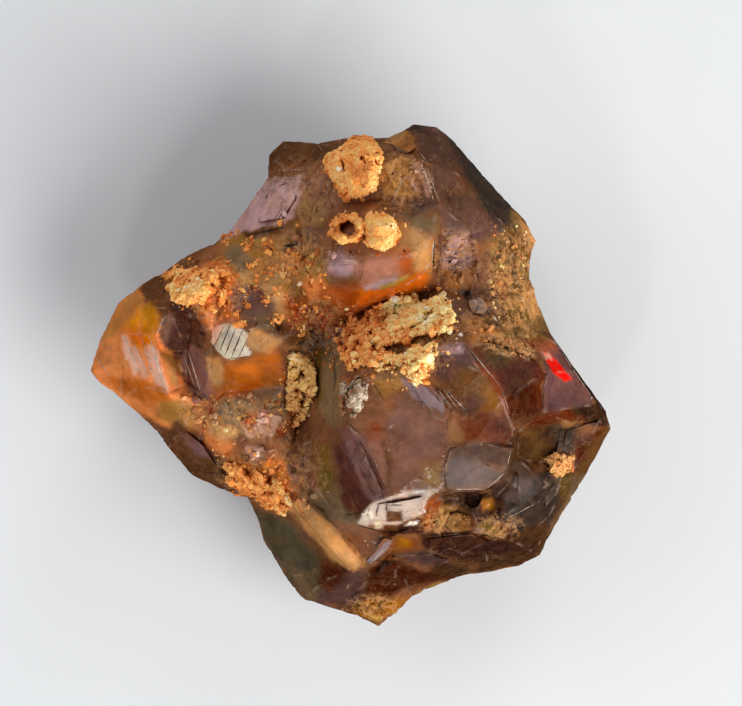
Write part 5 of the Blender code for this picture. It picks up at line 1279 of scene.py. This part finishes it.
def inside(spot, outline):
    crossings = 0
    for a, b in zip(outline, outline[1:] + outline[:1]):
        if (a[1] > spot[1]) != (b[1] > spot[1]):
            if a[0] + (spot[1] - a[1]) / (b[1] - a[1]) * (b[0] - a[0]) > spot[0]:
                crossings += 1
    return crossings % 2 == 1


def crust_tone(points, low, high):
    """Grain tones: darker low down and in patches, paler on top."""
    height = (points[:, 2] - low) / max(high - low, 1e-9)
    tone_of_place = 0.44 + 0.22 * height + 0.26 * noise_at(points, 0.4 * MM, 4.0)
    tone_of_place += 0.1 * noise_at(points, 0.12 * MM, 6.0)
    spots = pixels_of(points)
    for across, down, wide, tall, paler in PALER_CRUST:
        tone_of_place += oval(spots, across, down, wide, tall) * paler
    return tone_of_place


def crust_core(node, name, surface, broken):
    """The crust's own solid, split finely and broken into lumps, crevices and gaps that reach the garnet."""
    solid = clean_bmesh(node)
    refine(solid, 0.06 * MM, 0.12 * MM, 0, CRUST_TRIANGLES)
    mesh = bpy.data.meshes.new(name)
    for face in solid.faces:
        face.smooth = False
    for edge in solid.edges:
        edge.smooth = True
    solid.to_mesh(mesh)
    solid.free()
    points, normals = arrays_of(mesh)
    low, high = points[:, 2].min(), points[:, 2].max()
    rise = np.zeros(len(points))
    for index, point in enumerate(points):
        place = Vector(point)
        large = noise.voronoi(place / (0.24 * MM))[0]
        small = noise.voronoi(place / (0.10 * MM))[0]
        rise[index] = 0.036 * (large[1] - large[0]) + 0.03 * (small[1] - small[0]) - 0.024
    upper = np.clip(normals[:, 2] * 2 + 0.6, 0, 1)
    # Tone is paler on the lumps and deeper in the crevices, as painted shade.
    grain = crust_tone(points, low, high) + (rise - rise.mean()) * 5 - 0.02
    points += normals * (rise * upper)[:, None] * MM
    gaps = noise_at(points, 0.34 * MM, 71.0) + 0.7 * noise_at(points, 0.13 * MM, 73.0)
    spots = pixels_of(points)
    for across, down, wide, tall in BARE:
        gaps -= oval(spots, across, down, wide, tall) * 1.6
    hits = [drop(surface, Vector(point[:2]))[0] for point in points]
    depths = np.array([point[2] - hit.z if hit else 0 for point, hit in zip(points, hits)])
    thinness = 1 - np.clip(depths / (0.85 * np.percentile(depths, 95)), 0, 1)
    sinking = smooth_step((broken * 1.1 - 0.75 + thinness * RAGGEDNESS - gaps) / 0.5) * (depths > 0)
    points[:, 2] -= np.maximum(depths + 0.05 * MM, 0) * sinking
    grain -= sinking * 0.3
    set_points(mesh, points)
    set_values(mesh, "grain", grain)
    return mesh


def joined(name, meshes):
    """Several meshes with a grain tone each, in one mesh."""
    points, faces, values = [], [], []
    count = 0
    for mesh in meshes:
        for polygon in mesh.polygons:
            faces.append([index + count for index in polygon.vertices])
        points += [vertex.co[:] for vertex in mesh.vertices]
        values += [item.value for item in mesh.attributes["grain"].data]
        count += len(mesh.vertices)
    mesh = bpy.data.meshes.new(name)
    mesh.from_pydata(points, [], faces)
    set_values(mesh, "grain", values)
    return mesh


class GARNET_OT_crystals(bpy.types.Operator):
    """Refine the garnet body, colour its faces with painted sheens and painted shade in hollows, and give it a
    see-through finish.
    """

    bl_idname = "garnet.crystals"
    bl_label = "Garnet crystals"

    def execute(self, context):
        settings = context.scene.garnet_crystal
        solid = clean_bmesh(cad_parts["garnet_cluster"])
        refine(solid, settings.fine_edge, settings.coarse_edge, COARSE_BELOW, GARNET_TRIANGLES)
        round_off(solid)
        mesh = bpy.data.meshes.new("garnet_crystals")
        solid.to_mesh(mesh)
        solid.free()
        carve(mesh, settings)
        piece = new_piece("garnet_crystals", mesh, garnet_material(settings))
        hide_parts("garnet_cluster")
        return {"FINISHED"}


class GARNET_OT_crusts(bpy.types.Operator):
    """Turn each crust solid into a crumbling core covered with grains."""

    bl_idname = "garnet.crusts"
    bl_label = "Ochre crusts"

    def execute(self, context):
        settings = context.scene.garnet_crust
        rng = np.random.default_rng(SEED)
        shapes = crumb_shape(1), crumb_shape(2)
        surface = garnet_surface()
        for node, (count, size, low, high, broken) in CRUSTS.items():
            name = f"{node}_grains"
            core = crust_core(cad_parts[node], f"{name}_core", surface, broken)
            places = surface_samples(core, count, rng)
            grounds = [drop(surface, Vector(place[:2]))[0] for place in places]
            in_the_open = [
                not ground or place[2] > ground.z - 0.02 * MM for place, ground in zip(places, grounds)
            ]
            places = places[in_the_open]
            count = len(places)
            sizes = np.clip(settings.grain * size * rng.lognormal(-0.25, 0.5, count), *CRUST_GRAIN)
            below_the_top(places, sizes)
            values = crust_tone(places, places[:, 2].min(), places[:, 2].max())
            values = values + rng.normal(0.0, 0.09, count)
            grains = crumbs_mesh(f"{name}_crumbs", places, sizes, values[:, None], rng, shapes)
            mesh = joined(name, [core, grains])
            material = crust_material(f"{node}_crust", settings, low, high)
            piece = new_piece(name, mesh, material)
            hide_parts(node)
        return {"FINISHED"}


class GARNET_OT_loose_grains(bpy.types.Operator):
    """Scatter loose grains over the garnet round the crusts."""

    bl_idname = "garnet.loose_grains"
    bl_label = "Loose grains"

    def execute(self, context):
        settings = context.scene.garnet_crust
        rng = np.random.default_rng(SEED + 1)
        shapes = crumb_shape(1), crumb_shape(2)
        surface = garnet_surface()
        for name, (outline, density, size, low, high) in SCATTERS.items():
            low_corner = np.min(outline, axis=0)
            high_corner = np.max(outline, axis=0)
            area = np.prod(high_corner - low_corner)
            places = []
            for spot in rng.uniform(low_corner, high_corner, (int(area * density / 40), 2)):
                if not inside(spot, outline):
                    continue
                hit, slope = drop(surface, plan(*spot))
                if hit and slope.z > LEAST_SLOPE and noise.noise(hit / (0.3 * MM)) > -0.02:
                    places.append(hit - slope * 0.012 * MM)
            sizes = np.clip(size * 0.85 * PIXEL * rng.lognormal(-0.1, 0.5, len(places)), *LOOSE_GRAIN)
            values = rng.normal(0.46, 0.16, (len(places), 1))
            mesh = crumbs_mesh(name, places, sizes, values, rng, shapes)
            new_piece(name, mesh, crust_material(f"{name}_grain", settings, low, high))
        return {"FINISHED"}


class GARNET_OT_chips(bpy.types.Operator):
    """Scatter small chips of garnet over the crumbling ground, coloured like the faces round them."""

    bl_idname = "garnet.chips"
    bl_label = "Garnet chips"

    def execute(self, context):
        settings = context.scene.garnet_crystal
        rng = np.random.default_rng(SEED + 3)
        surface = garnet_surface()
        places = []
        for across, down, wide, tall, strength, size in CRUMBLING:
            count = int(wide * tall * strength * 0.10)
            for angle, reach in zip(rng.uniform(0, math.tau, count), np.sqrt(rng.uniform(0, 1, count))):
                aside, along = math.cos(angle) * reach * wide, math.sin(angle) * reach * tall
                hit, slope = drop(surface, plan(across + aside, down + along))
                if hit and slope.z > LEAST_SLOPE and hit.z > 1.5 * MM:
                    places.append(hit)
        places = np.array(places)
        sizes = np.clip(PIXEL * 4.2 * rng.lognormal(0, 0.4, len(places)), *CHIP)
        below_the_top(places, sizes)
        tints = rng.uniform(0.75, 1.7, (len(places), 1))
        colours = np.clip(zone_colours(places, settings) * tints * settings.brightness, 0, 0.95)
        shapes = crumb_shape(1), crumb_shape(1)
        mesh = crumbs_mesh("garnet_chips", places, sizes, colours, rng, shapes)
        new_piece("garnet_chips", mesh, chip_material(settings))
        return {"FINISHED"}


class GARNET_OT_growth_lines(bpy.types.Operator):
    """Lay thin step edges and small facets painted pale as highlights, and dark cracks, with dark steps and spots
    as painted shade, on the faces.
    """

    bl_idname = "garnet.growth_lines"
    bl_label = "Growth lines and glints"

    def execute(self, context):
        settings = context.scene.garnet_crystal
        surface = garnet_surface()
        rng = np.random.default_rng(SEED + 2)
        for name, lines, glints, colour in (
            ("growth_lines", GROWTH_LINES, GLINTS, "growth_line"),
            ("dark_cracks", DARK_LINES, DARK_SPOTS, "black_brown"),
        ):
            points, faces = [], []
            for left, top, right, bottom, width in lines:
                self.add_line(surface, Vector((left, top)), Vector((right, bottom)), width, points, faces, rng)
            for across, down, size in glints:
                self.add_glint(surface, across, down, size, points, faces, rng)
            mesh = bpy.data.meshes.new(name)
            mesh.from_pydata(points, [], faces)
            new_piece(name, mesh, line_material(settings, name, colour))
        return {"FINISHED"}

    def add_line(self, surface, first, last, width, points, faces, rng):
        """A low three-sided ridge along the surface, thin at both ends."""
        steps = max(4, int((last - first).length / 3))
        along = (last - first).normalized()
        aside = Vector((-along.y, along.x))
        start = len(points)
        made = 0
        for step in range(steps + 1):
            share = step / steps
            middle = first.lerp(last, share)
            half = width / 2 * (0.25 + 0.75 * math.sin(math.pi * share)) * rng.uniform(0.7, 1.2)
            row = []
            for side, lift in ((-1, -0.01), (0, 0.016), (1, -0.01)):
                spot = middle + aside * half * side
                hit, _ = drop(surface, plan(spot.x, spot.y))
                if hit is None:
                    break
                row.append((hit.x, hit.y, hit.z + lift * MM))
            if len(row) < 3:
                break
            points.extend(row)
            made += 1
        for step in range(made - 1):
            a = start + step * 3
            faces.append((a, a + 1, a + 4, a + 3))
            faces.append((a + 1, a + 2, a + 5, a + 4))
            faces.append((a + 2, a, a + 3, a + 5))
        if made:
            end = start + (made - 1) * 3
            faces.append((start + 2, start + 1, start))
            faces.append((end, end + 1, end + 2))

    def add_glint(self, surface, across, down, size, points, faces, rng):
        """A small flat many-sided chip lying on the face: a painted glint among the glints, painted shade among the
        dark spots.
        """
        hit, slope = drop(surface, plan(across, down))
        if hit is None:
            return
        start = len(points)
        sides = 6
        tilt = slope.to_track_quat("Z", "Y")
        for level, lift in ((0, -0.02), (1, 0.02)):
            for step in range(sides):
                angle = step * math.tau / sides + rng.uniform(-0.25, 0.25)
                reach = size / 2 * PIXEL * (1.0 if level == 0 else 0.75) * rng.uniform(0.75, 1.15)
                offset = Vector((math.cos(angle) * reach, math.sin(angle) * reach, lift * MM))
                points.append((hit + tilt @ offset)[:])
        faces.append(tuple(start + sides + step for step in range(sides)))
        faces.append(tuple(start + step for step in reversed(range(sides))))
        for step in range(sides):
            after = (step + 1) % sides
            faces.append((start + step, start + after, start + sides + after, start + sides + step))


class GARNET_OT_stage(bpy.types.Operator):
    """Make the pale floor, the studio lights, the sky and the camera."""

    bl_idname = "garnet.stage"
    bl_label = "Stage and camera"

    def execute(self, context):
        settings = context.scene.garnet_stage
        self.make_floor(settings)
        self.make_sky(context.scene, settings)
        middle = Vector((0, 0, GIRDLE_HEIGHT))
        for name, (place, side, colour) in LIGHTS.items():
            self.add_light(name, middle, place, side, getattr(settings, f"{name}_power"), colour)
        self.make_camera(context.scene, settings)
        context.scene.view_settings.view_transform = "Standard"
        return {"FINISHED"}

    def make_floor(self, settings):
        half = settings.floor_width / 2
        mesh = bpy.data.meshes.new("floor")
        corners = [(-half, -half, 0), (half, -half, 0), (half, half, 0), (-half, half, 0)]
        mesh.from_pydata(corners, [], [(0, 1, 2, 3)])
        floor = bpy.data.objects.new("floor", mesh)
        bpy.context.scene.collection.objects.link(floor)
        material, tree, shader = new_material("pale_floor")
        pale = np.array(settings.floor[:])
        colour = ramp_node(tree, noise_node(tree, 60, 3), [(0.3, tuple(pale * 0.97)), (0.7, tuple(pale))])
        tree.links.new(colour, shader.inputs["Base Color"])
        shader.inputs["Roughness"].default_value = 0.9
        mesh.materials.append(material)
        floor.visible_glossy = False

    def make_sky(self, scene, settings):
        world = bpy.data.worlds.new("studio")
        scene.world = world
        world.use_nodes = True
        tree = world.node_tree
        place = tree.nodes.new("ShaderNodeTexCoord").outputs["Generated"]
        split = tree.nodes.new("ShaderNodeSeparateXYZ")
        tree.links.new(place, split.inputs[0])
        colour = ramp_node(tree, split.outputs["Z"], SKY_TONES)
        background = tree.nodes["Background"]
        tree.links.new(colour, background.inputs["Color"])
        background.inputs["Strength"].default_value = settings.sky_strength

    def add_light(self, name, target, place, side, power, colour):
        """A soft square light that isn't mirrored in the facets."""
        lamp = bpy.data.lights.new(name, "AREA")
        lamp.shape = "SQUARE"
        lamp.size = side
        lamp.energy = power
        lamp.color = colour
        obj = bpy.data.objects.new(name, lamp)
        bpy.context.scene.collection.objects.link(obj)
        obj.location = place
        obj.rotation_euler = (Vector(place) - target).to_track_quat("Z", "Y").to_euler()
        obj.visible_glossy = False

    def make_camera(self, scene, settings):
        camera = bpy.data.cameras.new("camera")
        camera.sensor_width = 36
        camera.lens = camera.sensor_width * settings.camera_height / (PHOTO_WIDTH * PIXEL)
        camera.clip_start = 0.001
        camera.clip_end = 10
        obj = bpy.data.objects.new("camera", camera)
        scene.collection.objects.link(obj)
        middle = plan(PHOTO_WIDTH / 2, PHOTO_HEIGHT / 2)
        obj.location = (middle.x, middle.y, GIRDLE_HEIGHT + settings.camera_height)
        scene.camera = obj


class GARNET_PT_panel(bpy.types.Panel):
    """Sidebar panel with every build step and the main settings."""

    bl_label = "Garnet cluster"
    bl_idname = "GARNET_PT_panel"
    bl_space_type = "VIEW_3D"
    bl_region_type = "UI"
    bl_category = "Garnet"

    def draw(self, context):
        for step in STEPS:
            self.layout.operator(step.bl_idname)
        for name in GROUPS:
            box = self.layout.box()
            settings = getattr(context.scene, name)
            for field in settings.bl_rna.properties.keys():
                if field not in {"rna_type", "name"}:
                    box.prop(settings, field)


GROUPS = {
    "garnet_crystal": GARNET_PG_crystal,
    "garnet_crust": GARNET_PG_crust,
    "garnet_stage": GARNET_PG_stage,
}
STEPS = (
    GARNET_OT_crystals,
    GARNET_OT_crusts,
    GARNET_OT_loose_grains,
    GARNET_OT_chips,
    GARNET_OT_growth_lines,
    GARNET_OT_stage,
)


def register():
    for item in (*GROUPS.values(), *STEPS, GARNET_PT_panel):
        bpy.utils.register_class(item)
    for name, group in GROUPS.items():
        setattr(bpy.types.Scene, name, PointerProperty(type=group))


def unregister():
    for name in GROUPS:
        delattr(bpy.types.Scene, name)
    for item in reversed((*GROUPS.values(), *STEPS, GARNET_PT_panel)):
        bpy.utils.unregister_class(item)


def main():
    register()
    bpy.ops.garnet.crystals()
    bpy.ops.garnet.crusts()
    bpy.ops.garnet.loose_grains()
    bpy.ops.garnet.chips()
    bpy.ops.garnet.growth_lines()
    bpy.ops.garnet.stage()


if __name__ == "__main__":
    main()
